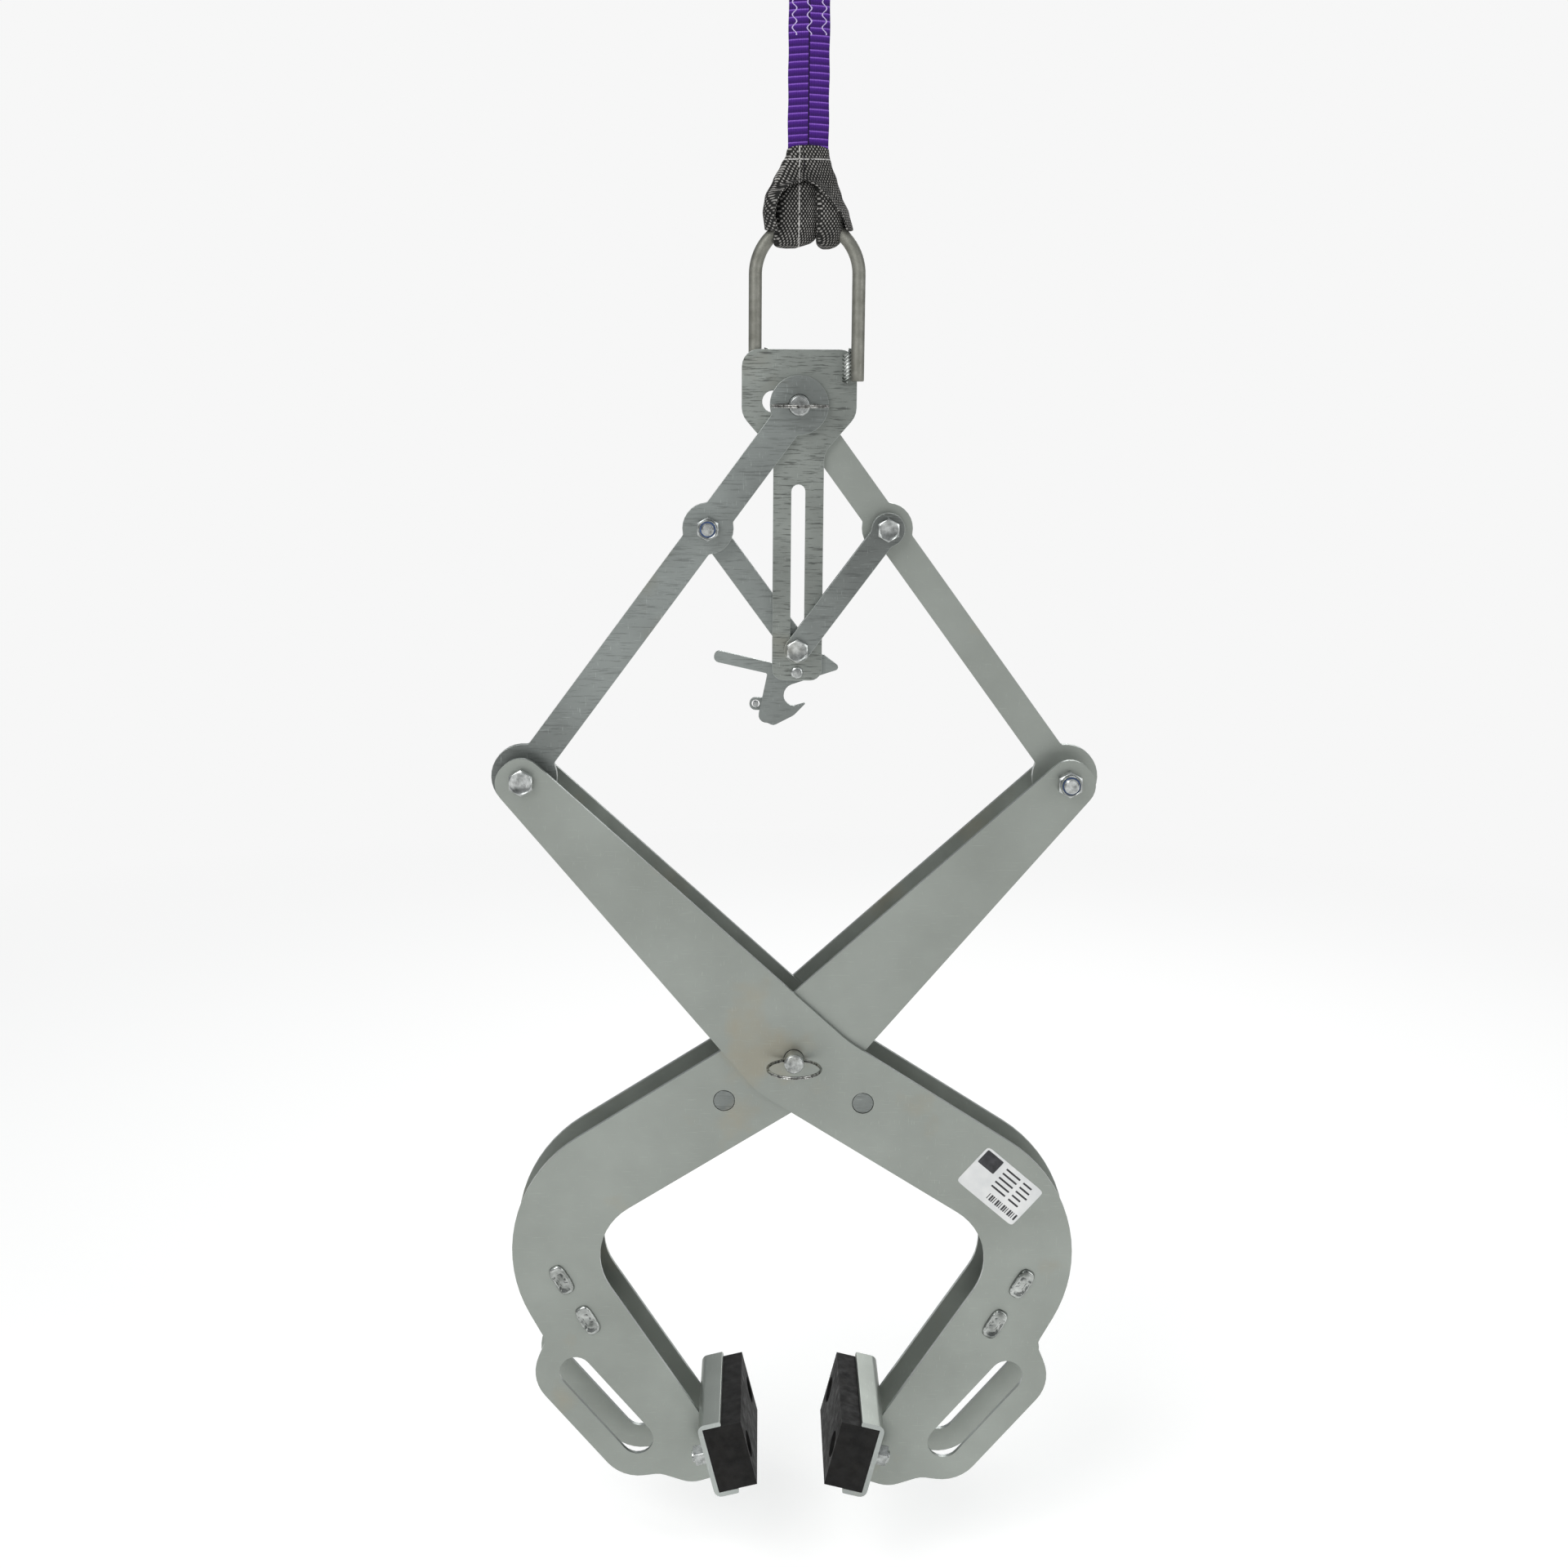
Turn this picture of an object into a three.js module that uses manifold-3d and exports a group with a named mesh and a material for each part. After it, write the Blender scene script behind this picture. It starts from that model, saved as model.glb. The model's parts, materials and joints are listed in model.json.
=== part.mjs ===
// Scissor grab for kerb stones and blocks, hanging closed on a short lifting sling.
//
// A bow and a guide plate hang on the sling. Two long links run from the pin in the guide plate
// to the tops of two crossing arms, and two short links run from the bosses of the long links
// to a bolt that slides in the guide plate's slot. Each arm is a pair of flat plates with a
// rubber-faced jaw at its foot. The left and the right half are the same parts: the right half
// is the left half turned half a turn about the vertical axis, which also swaps front and back.
//
// Millimetres. +X right, +Y back, +Z up. The origin is the centre of the bow's rod at its crown.

import * as THREE from 'three';
import * as BufferGeometryUtils from 'three/addons/utils/BufferGeometryUtils.js';
import Module from 'manifold-3d';

// ---- Driving dimensions ----

// Linkage at rest
const PIN_DROP = 136; // from the bow's crown down to the top pin
const BOW_OFFSET = 5; // the bow is welded this far right of the guide plate's middle
const LINK_LENGTH = 361; // long link, eye to eye
const LINK_ANGLE = THREE.MathUtils.degToRad(36.5); // long link from the vertical
const BOSS_AT = 117; // from the top pin along the long link; the short link is as long
const ARM_UPPER = 312.5; // from an arm's top eye to the hub

// Clearances
const FACE_GAP = 0.5; // between faces that turn on each other
const REST_GAP = 0.3; // between faces that are clamped or welded together
const HOLE_GAP = 0.3; // radial, between a bolt or pin and its hole
const CHORD_SAG = 0.12; // the straight facets of a round edge stray this far from it

// Bow and guide plate
const BOW_ROD = 5; // radius of the rod
const BOW_RADIUS = 39; // of the arc, to the middle of the rod
const BOW_LEG = 79; // straight part of each leg
const HEAD_THICK = 5;
const HEAD_HALF_WIDTH = 44;
const HEAD_ABOVE_PIN = 41.7;
const TAIL_HALF_WIDTH = 19.5;
const TAIL_BELOW_PIN = 213;
const SLOT_TOP = 60.4; // below the top pin
const SLOT_HALF_WIDTH = 5.25;
const SPARE_HOLE = [-20, 2.4, 8.2]; // x, z from the top pin, radius
const BOW_STEPS = 34;
const WELD_LENGTH = 22;

// Links
const LINK_THICK = 6;
const LINK_HALF_WIDTH = 12.5;
const LINK_TOP_EYE = 22.5;
const LINK_BOSS = 19.8;
const LINK_LOW_EYE = 26;
const LINK_BLEND = 2.5; // fillet between bar and eye
const SHORT_THICK = 6;
const SHORT_HALF_WIDTH = 10;
const SHORT_BOSS = 13;
const SHORT_LOW_EYE = 10.2;

// Arms
const ARM_THICK = 4;
const ARM_DEPTH = 50; // over both plates of one arm
const ARM_OVERLAP_GAP = 1; // between the plates of the two arms
const ARM_CAP = 18.5; // half width at the top eye
const ARM_CAP_OFFSET = 2; // the top end sits this far towards the arm's lower edge
const BUTTON_RADIUS = 8.5; // wear button, flush in each plate
const BUTTON_AT = [56.2, -37.5]; // from the hub
const WEB_AT = [179.4, -212.4]; // middle of the cross web, from the hub
const WEB_SLOPE = [-0.508, -0.861];
const WEB_LENGTH = 66;
const WEB_THICK = 6;
const TAB_LENGTH = 22;
const TAB_SPACING = 41.7;
const HAND_SLOT_TOP = [179.7, -277.6]; // centre of the upper end, from the hub
const HAND_SLOT_LENGTH = 79.3; // between the centres of the two ends
const HAND_SLOT_RADIUS = 13.5;
const HAND_LOBE = [218.5, -283.4, 33.5]; // corner and radius of the rim outside the slot's upper end
const HAND_FOOT = [142, -374.8, 34]; // the same at its lower end
const HUB_SLOT_END = [-19, 6.2]; // the right arm's hub hole is a slot that ends here, from the hub
const HUB_SLOT_PLAY = 3.6; // radial room for the hub pin in that slot

// Jaws
const JAW_AT = [69.9, -338.6]; // middle of the bracket's back, from the hub
const JAW_TILT = THREE.MathUtils.degToRad(14);
const JAW_LENGTH = 120; // front to back
const PAD_THICK = 32;
const PAD_HEIGHT = 57.5;
const BRACKET_THICK = 4;
const BRACKET_FLANGE = 20;
const BRACKET_CORNER = 6;
const PAD_BOLT_SPACING = 90;
const COUNTERBORE = [11, 12]; // radius, depth

// Fasteners: shank radius, head or nut across flats, head height, nut height
const M10 = { shank: 5, flats: 16, head: 6.4, nut: 9.5 };
const M12 = { shank: 6, flats: 18, head: 7.5, nut: 12 };
const THREAD_PAST_NUT = 2.2;

// Pins and their split rings
const PIN_RADIUS = 8;
const PIN_STAND_OUT = 14; // of the pin's nose past the plate that it holds
const PIN_CHAMFER = 1.2;
const PIN_HEAD = [12, 4]; // radius, height
const RING_RADIUS = 21.2; // to the middle of the wire
const RING_WIRE = 1.3;
const RING_PLAY = 0.32; // round the wire, in the pin's cross hole
const HUB_WASHER = [33.5, 3]; // radius, thickness

// Latch
const RIVET_BELOW_PIN = 206.6;
const LATCH_THICK = 4;
const RIVET = [3, 4.8, 2.6]; // shank radius, head radius, head height
const LUG_AT = [-32.2, -26.8]; // from the rivet
const LUG_RADIUS = 5;

// Sling
const SLING_HALF_WIDTH = 15.5;
const SLING_HALF_THICK = 4;
const SLING_FROM = 60; // above the bow's crown
const SLING_TO = 196;
const EYE_HEIGHT = 84;
const EYE_HALF_DEPTH = 22;
const EYE_WEB = 6;
const EYE_STITCH = 26; // length of the sewn part below the eye
const EYE_BULGE_AT = 0.55; // share of the height where the eye is at its widest
const EYE_BULGE_RADIUS = 28;
const SLEEVE_HALF_DEPTH = 15;
const SLEEVE_GAP = 0.6; // to the bow's rod

// ---- Where the joints are, worked out from the driving dimensions ----

const eyeX = LINK_LENGTH * Math.sin(LINK_ANGLE);
const eyeBelowPin = LINK_LENGTH * Math.cos(LINK_ANGLE);
const hubBelowPin = eyeBelowPin + Math.sqrt(ARM_UPPER ** 2 - eyeX ** 2);
const sliderBelowPin = 2 * BOSS_AT * Math.cos(LINK_ANGLE);
const armEye = [-eyeX, hubBelowPin - eyeBelowPin]; // from the hub

// Front and back faces of the layers, as the left half has them
const headLayer = [-HEAD_THICK / 2, HEAD_THICK / 2];
const linkLayer = [headLayer[0] - FACE_GAP - LINK_THICK, headLayer[0] - FACE_GAP];
const shortLayer = [headLayer[1] + FACE_GAP, headLayer[1] + FACE_GAP + SHORT_THICK];
const armShift = (ARM_THICK + ARM_OVERLAP_GAP) / 2;
const outerLayer = [-ARM_DEPTH / 2 - armShift, -ARM_DEPTH / 2 - armShift + ARM_THICK];
const innerLayer = [ARM_DEPTH / 2 - armShift - ARM_THICK, ARM_DEPTH / 2 - armShift];

// ---- Materials ----

const finish = (color, roughness, metalness) =>
  new THREE.MeshStandardMaterial({ color, roughness, metalness });
const zincPlate = finish(0x8c938e, 0.42, 0.85);
const zincLink = finish(0x585c58, 0.45, 0.85);
const zincBright = finish(0xb9bdb8, 0.3, 0.95);
const rubber = finish(0x1a1a19, 0.85, 0);
const webbing = finish(0x4b1e8c, 0.9, 0);
const sleeveCloth = finish(0x3c3c40, 0.95, 0);

// ---- Solids ----

const wasm = await Module();
wasm.setup();

function toSolid(geometry) {
  const bare = geometry.index ? geometry.toNonIndexed() : geometry.clone();
  bare.deleteAttribute('normal');
  bare.deleteAttribute('uv');
  const merged = BufferGeometryUtils.mergeVertices(bare, 1e-4);
  return new wasm.Manifold(
    new wasm.Mesh({
      numProp: 3,
      vertProperties: new Float32Array(merged.attributes.position.array),
      triVerts: new Uint32Array(merged.index.array),
    })
  );
}

function toGeometry(solid) {
  const mesh = solid.getMesh();
  const geometry = new THREE.BufferGeometry();
  geometry.setAttribute('position', new THREE.BufferAttribute(mesh.vertProperties, 3));
  geometry.setIndex(new THREE.BufferAttribute(mesh.triVerts, 1));
  geometry.computeVertexNormals();
  return geometry;
}

const join = (...parts) => toGeometry(parts.map(toSolid).reduce((a, b) => a.add(b)));
const cut = (body, ...tools) =>
  toGeometry(tools.map(toSolid).reduce((a, b) => a.subtract(b), toSolid(body)));

// A cylinder along Y between two faces.
function bar(radius, from, to, segments = 24) {
  const geometry = new THREE.CylinderGeometry(radius, radius, to - from, segments);
  return geometry.translate(0, (from + to) / 2, 0);
}

// A hexagonal prism along Y, with its points up and down.
const hexagon = (flats, from, to) => bar(flats / Math.sqrt(3), from, to, 6);

// Points along an arc, close enough together that the chords keep within CHORD_SAG of it.
function arc(x, z, radius, from, to, clockwise = false) {
  const curve = new THREE.EllipseCurve(x, z, radius, radius, from, to, clockwise);
  const sweep = curve.getLength() / radius;
  const step = 2 * Math.acos(1 - CHORD_SAG / Math.max(radius, 3 * CHORD_SAG));
  return curve.getPoints(Math.ceil(sweep / step));
}

// A flat plate in the XZ plane between two faces, from an outline in X and Z.
function flatPlate(shape, layer) {
  const depth = layer[1] - layer[0];
  const geometry = new THREE.ExtrudeGeometry(shape, { depth, bevelEnabled: false });
  return geometry.rotateX(Math.PI / 2).translate(0, layer[1], 0);
}

// A bush or a washer between two faces.
function bush(outer, inner, layer) {
  const shape = disc(outer);
  shape.holes.push(roundHole(0, 0, inner));
  return flatPlate(shape, layer);
}

const circle = (x, z, radius) => arc(x, z, radius, 0, 2 * Math.PI).slice(1);
const disc = (radius) => new THREE.Shape(circle(0, 0, radius));

// A hole's chords stay outside its circle, so that the gap to the shank is kept.
const roundHole = (x, z, radius) => new THREE.Path(circle(x, z, radius + CHORD_SAG));

// An outline through corner points [x, z, corner radius], with each corner rounded.
function outline(corners) {
  const points = corners.flatMap(([x, z, radius], i) => {
    const corner = new THREE.Vector2(x, z);
    const [before, after] = [corners.at(i - 1), corners[(i + 1) % corners.length]];
    const back = new THREE.Vector2(before[0], before[1]).sub(corner).normalize();
    const on = new THREE.Vector2(after[0], after[1]).sub(corner).normalize();
    const half = Math.acos(back.dot(on)) / 2;
    const start = corner.clone().addScaledVector(back, radius / Math.tan(half));
    const end = corner.clone().addScaledVector(on, radius / Math.tan(half));
    const bisector = back.clone().add(on).normalize();
    const centre = corner.clone().addScaledVector(bisector, radius / Math.sin(half));
    const [from, to] = [start.clone().sub(centre).angle(), end.clone().sub(centre).angle()];
    return arc(centre.x, centre.y, radius, from, to, back.cross(on) >= 0);
  });
  return new THREE.Shape(points);
}

// A slot with round ends, between two end centres.
function slotHole([x1, z1], [x2, z2], radius) {
  const along = Math.atan2(z2 - z1, x2 - x1);
  const [out, quarter] = [radius + CHORD_SAG, Math.PI / 2];
  return new THREE.Path([
    ...arc(x1, z1, out, along + quarter, along + 3 * quarter),
    ...arc(x2, z2, out, along - quarter, along + quarter),
  ]);
}

// A bar that hangs straight down from its first eye: eyes are [distance down, radius, hole].
// The bar runs into each eye through a fillet.
function eyeBar(eyes, halfWidth, blend) {
  const points = [];
  const reach = (radius) => Math.sqrt((radius + blend) ** 2 - (halfWidth + blend) ** 2);
  const tip = (radius) => Math.atan2(reach(radius), halfWidth + blend);
  const side = (list, sign) => {
    list.forEach(([down, radius], i) => {
      const above = tip(radius);
      const [first, last] = [i === 0, i === list.length - 1];
      const flip = sign > 0 ? 0 : Math.PI;
      const from = first ? Math.PI / 2 : above;
      const to = last ? -Math.PI / 2 : -above;
      if (!first) {
        const z = -down + sign * reach(radius);
        points.push(...arc(sign * (halfWidth + blend), z, blend, Math.PI + flip, Math.PI + above + flip));
      }
      points.push(...arc(0, -down, radius, from + flip, to + flip, true));
      if (!last) {
        const z = -down - sign * reach(radius);
        points.push(...arc(sign * (halfWidth + blend), z, blend, Math.PI - above + flip, Math.PI + flip));
      }
    });
  };
  const plain = eyes.map(([down, radius]) => [down, radius]);
  side(plain, 1);
  side(plain.toReversed(), -1);
  const shape = new THREE.Shape(points);
  eyes.forEach(([down, , hole]) => shape.holes.push(roundHole(0, -down, hole)));
  return shape;
}

const grab = new THREE.Group();

function place(parent, name, geometry, material) {
  const mesh = new THREE.Mesh(geometry, material);
  mesh.name = name;
  parent.add(mesh);
  return mesh;
}

function groupAt(parent, x, y, z) {
  const group = new THREE.Group();
  group.position.set(x, y, z);
  parent.add(group);
  return group;
}

// A bolt along Y with its head's bearing face at headAt and its nut's at nutAt. The nut is a
// separate piece; the shank stands a little way out of it.
function addBolt(parent, names, size, headAt, nutAt) {
  const out = Math.sign(headAt - nutAt);
  const nutEnd = nutAt - out * size.nut;
  const shankEnd = nutEnd - out * THREAD_PAST_NUT;
  const ordered = (a, b) => [Math.min(a, b), Math.max(a, b)];
  const head = hexagon(size.flats, ...ordered(headAt, headAt + out * size.head));
  const shank = bar(size.shank, ...ordered(headAt + out, shankEnd));
  place(parent, names.bolt, join(head, shank), zincBright);
  const nut = hexagon(size.flats, ...ordered(nutAt, nutEnd));
  const bore = bar(size.shank + HOLE_GAP, ...ordered(nutAt + out, nutEnd - out));
  place(parent, names.nut, cut(nut, bore), zincBright);
}

// A headed pin along Y. Its nose stands out of the front, with a cross hole for a split ring
// close in front of the plate face at frontFace. The ring lies level, out to the front.
function addRingPin(parent, names, frontFace, backFace) {
  const nose = frontFace - PIN_STAND_OUT;
  const sagitta = RING_RADIUS - Math.sqrt(RING_RADIUS ** 2 - PIN_RADIUS ** 2);
  const holeRadius = RING_WIRE + sagitta / 2 + RING_PLAY;
  const wireAtHole = frontFace - FACE_GAP - holeRadius;
  const profile = [
    [0, nose],
    [PIN_RADIUS - PIN_CHAMFER, nose],
    [PIN_RADIUS, nose + PIN_CHAMFER],
    [PIN_RADIUS, backFace],
    [PIN_HEAD[0], backFace],
    [PIN_HEAD[0], backFace + PIN_HEAD[1]],
    [0, backFace + PIN_HEAD[1]],
  ].map(([r, y]) => new THREE.Vector2(r, y));
  const crossHole = bar(holeRadius, -PIN_RADIUS - 2, PIN_RADIUS + 2, 16);
  crossHole.rotateZ(Math.PI / 2).translate(0, wireAtHole, 0);
  place(parent, names.pin, cut(new THREE.LatheGeometry(profile, 32), crossHole), zincBright);
  const ringShape = new THREE.TorusGeometry(RING_RADIUS, RING_WIRE, 8, 28);
  const ring = place(parent, names.ring, ringShape, zincBright);
  ring.position.y = wireAtHole + sagitta / 2 - RING_RADIUS;
}

// ---- Bow: one round rod, bent to a U. Its left leg is welded behind the guide plate and its
// right leg in front, so the rod crosses the plate's plane at the crown. ----

const legOffset = HEAD_THICK / 2 + REST_GAP + BOW_ROD;

class BowLine extends THREE.Curve {
  getPoint(t) {
    const arc = Math.PI * BOW_RADIUS;
    const along = t * (2 * BOW_LEG + arc) - BOW_LEG;
    const turn = THREE.MathUtils.clamp(along / BOW_RADIUS, 0, Math.PI);
    const straight = Math.max(-along, along - arc, 0);
    const x = -BOW_RADIUS * Math.cos(turn);
    const z = BOW_RADIUS * (Math.sin(turn) - 1) - straight;
    return new THREE.Vector3(x, legOffset * Math.cos(turn), z);
  }
}

function rod(radius) {
  return new THREE.ExtrudeGeometry(disc(radius), { extrudePath: new BowLine(), steps: BOW_STEPS });
}

place(grab, 'bow', rod(BOW_ROD), zincPlate);

function addBowWeld(name, side) {
  const size = 3.5;
  const corner = new THREE.Shape([
    new THREE.Vector2(0, 0),
    new THREE.Vector2(size, 0),
    new THREE.Vector2(0, size),
  ]);
  const bead = new THREE.ExtrudeGeometry(corner, { depth: WELD_LENGTH, bevelEnabled: false });
  const weld = place(grab, name, bead, zincPlate);
  const plateTop = HEAD_ABOVE_PIN - PIN_DROP;
  const inward = BOW_RADIUS - BOW_ROD - REST_GAP;
  const face = headLayer[1] + REST_GAP;
  weld.rotation.z = side > 0 ? Math.PI : 0;
  weld.position.set(side * inward, -side * face, plateTop - WELD_LENGTH - 1);
}
addBowWeld('bow_weld_left', -1);
addBowWeld('bow_weld_right', 1);

// ---- Sling: violet webbing folded lengthwise, choked round the bow inside a grey wear sleeve,
// with a sewn eye at its upper end. ----

function addSling() {
  const [w, t] = [SLING_HALF_WIDTH, SLING_HALF_THICK];
  const band = outline([
    [-w, -t, 3],
    [w, -t, 3],
    [w, t, 3],
    [-w, t, 3],
  ]);
  const depth = SLING_TO - SLING_FROM;
  const strap = new THREE.ExtrudeGeometry(band, { depth, steps: 3, bevelEnabled: false });
  place(grab, 'sling_webbing', strap.translate(0, 0, SLING_FROM), webbing);

  // The eye is a flat loop of doubled webbing, drawn from its stitched foot upwards.
  const eyeRing = (foot, inset) => {
    const half = EYE_HALF_DEPTH - inset;
    const [bulge, top] = [EYE_HEIGHT * EYE_BULGE_AT, EYE_HEIGHT - inset];
    return outline([
      ...foot,
      [half, bulge, EYE_BULGE_RADIUS],
      [half, top, half - 1],
      [-half, top, half - 1],
      [-half, bulge, EYE_BULGE_RADIUS],
    ]);
  };
  const stitched = [
    [-t - 2, 0, 1.5],
    [t + 2, 0, 1.5],
  ];
  const body = eyeRing(stitched, 0);
  const inner = eyeRing([[0, EYE_STITCH, 1]], EYE_WEB);
  body.holes.push(new THREE.Path(inner.getPoints()));
  const eye = flatPlate(body, [-w, w]).rotateZ(Math.PI / 2);
  place(grab, 'sling_eye', eye.translate(0, 0, SLING_TO + REST_GAP), webbing);

  const collar = outline([
    [-16, SLING_FROM - REST_GAP, 2],
    [16, SLING_FROM - REST_GAP, 2],
    [19, 38, 20],
    [33, 20, 10],
    [36, -6, 3],
    [20, -2, 3],
    [12, -20, 6],
    [-14, -20, 6],
    [-22, -4, 3],
    [-32, -6, 3],
    [-32, 18, 10],
    [-19, 38, 20],
  ]);
  const sleeve = flatPlate(collar, [-SLEEVE_HALF_DEPTH, SLEEVE_HALF_DEPTH]);
  place(grab, 'sling_sleeve', cut(sleeve, rod(BOW_ROD + SLEEVE_GAP)), sleeveCloth);
}
addSling();

// ---- Guide plate ----

const head = groupAt(grab, -BOW_OFFSET, 0, -PIN_DROP);

function addGuidePlate() {
  const shape = outline([
    [-HEAD_HALF_WIDTH, HEAD_ABOVE_PIN, 13],
    [HEAD_HALF_WIDTH, HEAD_ABOVE_PIN, 13],
    [HEAD_HALF_WIDTH, -8, 16],
    [TAIL_HALF_WIDTH, -36, 16],
    [TAIL_HALF_WIDTH, -TAIL_BELOW_PIN, 9],
    [-TAIL_HALF_WIDTH, -TAIL_BELOW_PIN, 9],
    [-TAIL_HALF_WIDTH, -36, 16],
    [-HEAD_HALF_WIDTH, -8, 16],
  ]);
  const slotEnd = sliderBelowPin + M10.shank + HOLE_GAP - SLOT_HALF_WIDTH;
  shape.holes.push(
    roundHole(0, 0, PIN_RADIUS + HOLE_GAP),
    roundHole(...SPARE_HOLE),
    roundHole(0, -RIVET_BELOW_PIN, RIVET[0] + HOLE_GAP),
    slotHole([0, -SLOT_TOP - SLOT_HALF_WIDTH], [0, -slotEnd], SLOT_HALF_WIDTH)
  );
  place(head, 'guide_plate', flatPlate(shape, headLayer), zincLink);
}
addGuidePlate();
addRingPin(head, { pin: 'top_pin', ring: 'top_pin_ring' }, linkLayer[0], -linkLayer[0] + FACE_GAP);

// ---- One half of the scissors: long link, short link and arm ----

function addLinks(half, side) {
  const swing = groupAt(half, 0, 0, 0);
  swing.rotation.y = LINK_ANGLE;
  const eyes = [
    [0, LINK_TOP_EYE, PIN_RADIUS + HOLE_GAP],
    [BOSS_AT, LINK_BOSS, M10.shank + HOLE_GAP],
    [LINK_LENGTH, LINK_LOW_EYE, M12.shank + HOLE_GAP],
  ];
  const link = flatPlate(eyeBar(eyes, LINK_HALF_WIDTH, LINK_BLEND), linkLayer);
  place(swing, `${side}_link`, link, zincLink);

  const boss = groupAt(swing, 0, 0, -BOSS_AT);
  const spacer = [linkLayer[1] + REST_GAP, shortLayer[0] - REST_GAP];
  place(boss, `${side}_boss_spacer`, bush(9, M10.shank + HOLE_GAP, spacer), zincBright);
  const names = { bolt: `${side}_boss_bolt`, nut: `${side}_boss_nut` };
  addBolt(boss, names, M10, shortLayer[1] + REST_GAP, linkLayer[0] - REST_GAP);

  const bossX = -BOSS_AT * Math.sin(LINK_ANGLE);
  const short = groupAt(half, bossX, 0, -BOSS_AT * Math.cos(LINK_ANGLE));
  short.rotation.y = -LINK_ANGLE;
  const shortEyes = [
    [0, SHORT_BOSS, M10.shank + HOLE_GAP],
    [BOSS_AT, SHORT_LOW_EYE, M10.shank + HOLE_GAP],
  ];
  const bars = flatPlate(eyeBar(shortEyes, SHORT_HALF_WIDTH, 6), shortLayer);
  place(short, `${side}_short_link`, bars, zincLink);
}

// The arm's outline, from the hub: down the upper edge, round the heel, the hand slot and the
// foot, and back up the lower edge.
function armOutline() {
  const eye = new THREE.Vector2(...armEye);
  const out = eye.clone().normalize();
  const across = new THREE.Vector2(out.y, -out.x);
  const end = (width) => eye.clone().addScaledVector(out, ARM_CAP).addScaledVector(across, width);
  const [upper, lower] = [end(ARM_CAP - ARM_CAP_OFFSET), end(-ARM_CAP - ARM_CAP_OFFSET)];
  const backTop = jawPoint(REST_GAP, 24);
  const backFoot = jawPoint(REST_GAP, -35);
  return outline([
    [upper.x, upper.y, ARM_CAP - 0.6],
    [44, 14.4, 90],
    [268, -129.5, 118],
    [204, -249, 12],
    HAND_LOBE,
    HAND_FOOT,
    [109.7, -370.5, 18],
    [83, -379.5, 26],
    [backFoot.x, backFoot.y, 1.5],
    [backTop.x, backTop.y, 2],
    [177.8, -158.6, 50],
    [-29.5, -28, 40],
    [lower.x, lower.y, ARM_CAP - 0.6],
  ]);
}

// A point on the jaw: out from the bracket's back and up along it, from the hub.
function jawPoint(out, up) {
  const [cos, sin] = [Math.cos(JAW_TILT), Math.sin(JAW_TILT)];
  return new THREE.Vector2(JAW_AT[0] + out * cos + up * sin, JAW_AT[1] - out * sin + up * cos);
}

function armPlate(layer, hubHole) {
  const shape = armOutline();
  const slope = new THREE.Vector2(...WEB_SLOPE);
  const handEnd = [HAND_FOOT[0] - HAND_LOBE[0], HAND_FOOT[1] - HAND_LOBE[1]];
  const handLine = new THREE.Vector2(...handEnd).normalize();
  const [sx, sz] = HAND_SLOT_TOP;
  const slotLow = [sx + handLine.x * HAND_SLOT_LENGTH, sz + handLine.y * HAND_SLOT_LENGTH];
  shape.holes.push(
    roundHole(...armEye, M12.shank + HOLE_GAP),
    hubHole,
    roundHole(...BUTTON_AT, BUTTON_RADIUS + HOLE_GAP),
    slotHole(HAND_SLOT_TOP, slotLow, HAND_SLOT_RADIUS)
  );
  for (const way of [-1, 1]) {
    const at = way * (TAB_SPACING / 2);
    const reach = (TAB_LENGTH - WEB_THICK) / 2;
    const spot = (s) => [WEB_AT[0] + slope.x * s, WEB_AT[1] + slope.y * s];
    shape.holes.push(slotHole(spot(at - reach), spot(at + reach), WEB_THICK / 2 + HOLE_GAP));
  }
  return flatPlate(shape, layer);
}

function addWeb(arm, side) {
  const web = groupAt(arm, WEB_AT[0], 0, WEB_AT[1]);
  web.rotation.y = Math.atan2(-WEB_SLOPE[1], WEB_SLOPE[0]);
  const [from, to] = [outerLayer[1] + REST_GAP, innerLayer[0] - REST_GAP];
  const body = new THREE.BoxGeometry(WEB_LENGTH, to - from, WEB_THICK).translate(0, (from + to) / 2, 0);
  const tabs = [-1, 1].map((way) => {
    const depth = innerLayer[1] - outerLayer[0] - 2 * REST_GAP;
    const tab = new THREE.BoxGeometry(TAB_LENGTH - WEB_THICK, depth, WEB_THICK);
    return tab.translate((way * TAB_SPACING) / 2, (innerLayer[1] + outerLayer[0]) / 2, 0);
  });
  place(web, `${side}_arm_web`, join(body, ...tabs), zincPlate);
}

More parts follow.
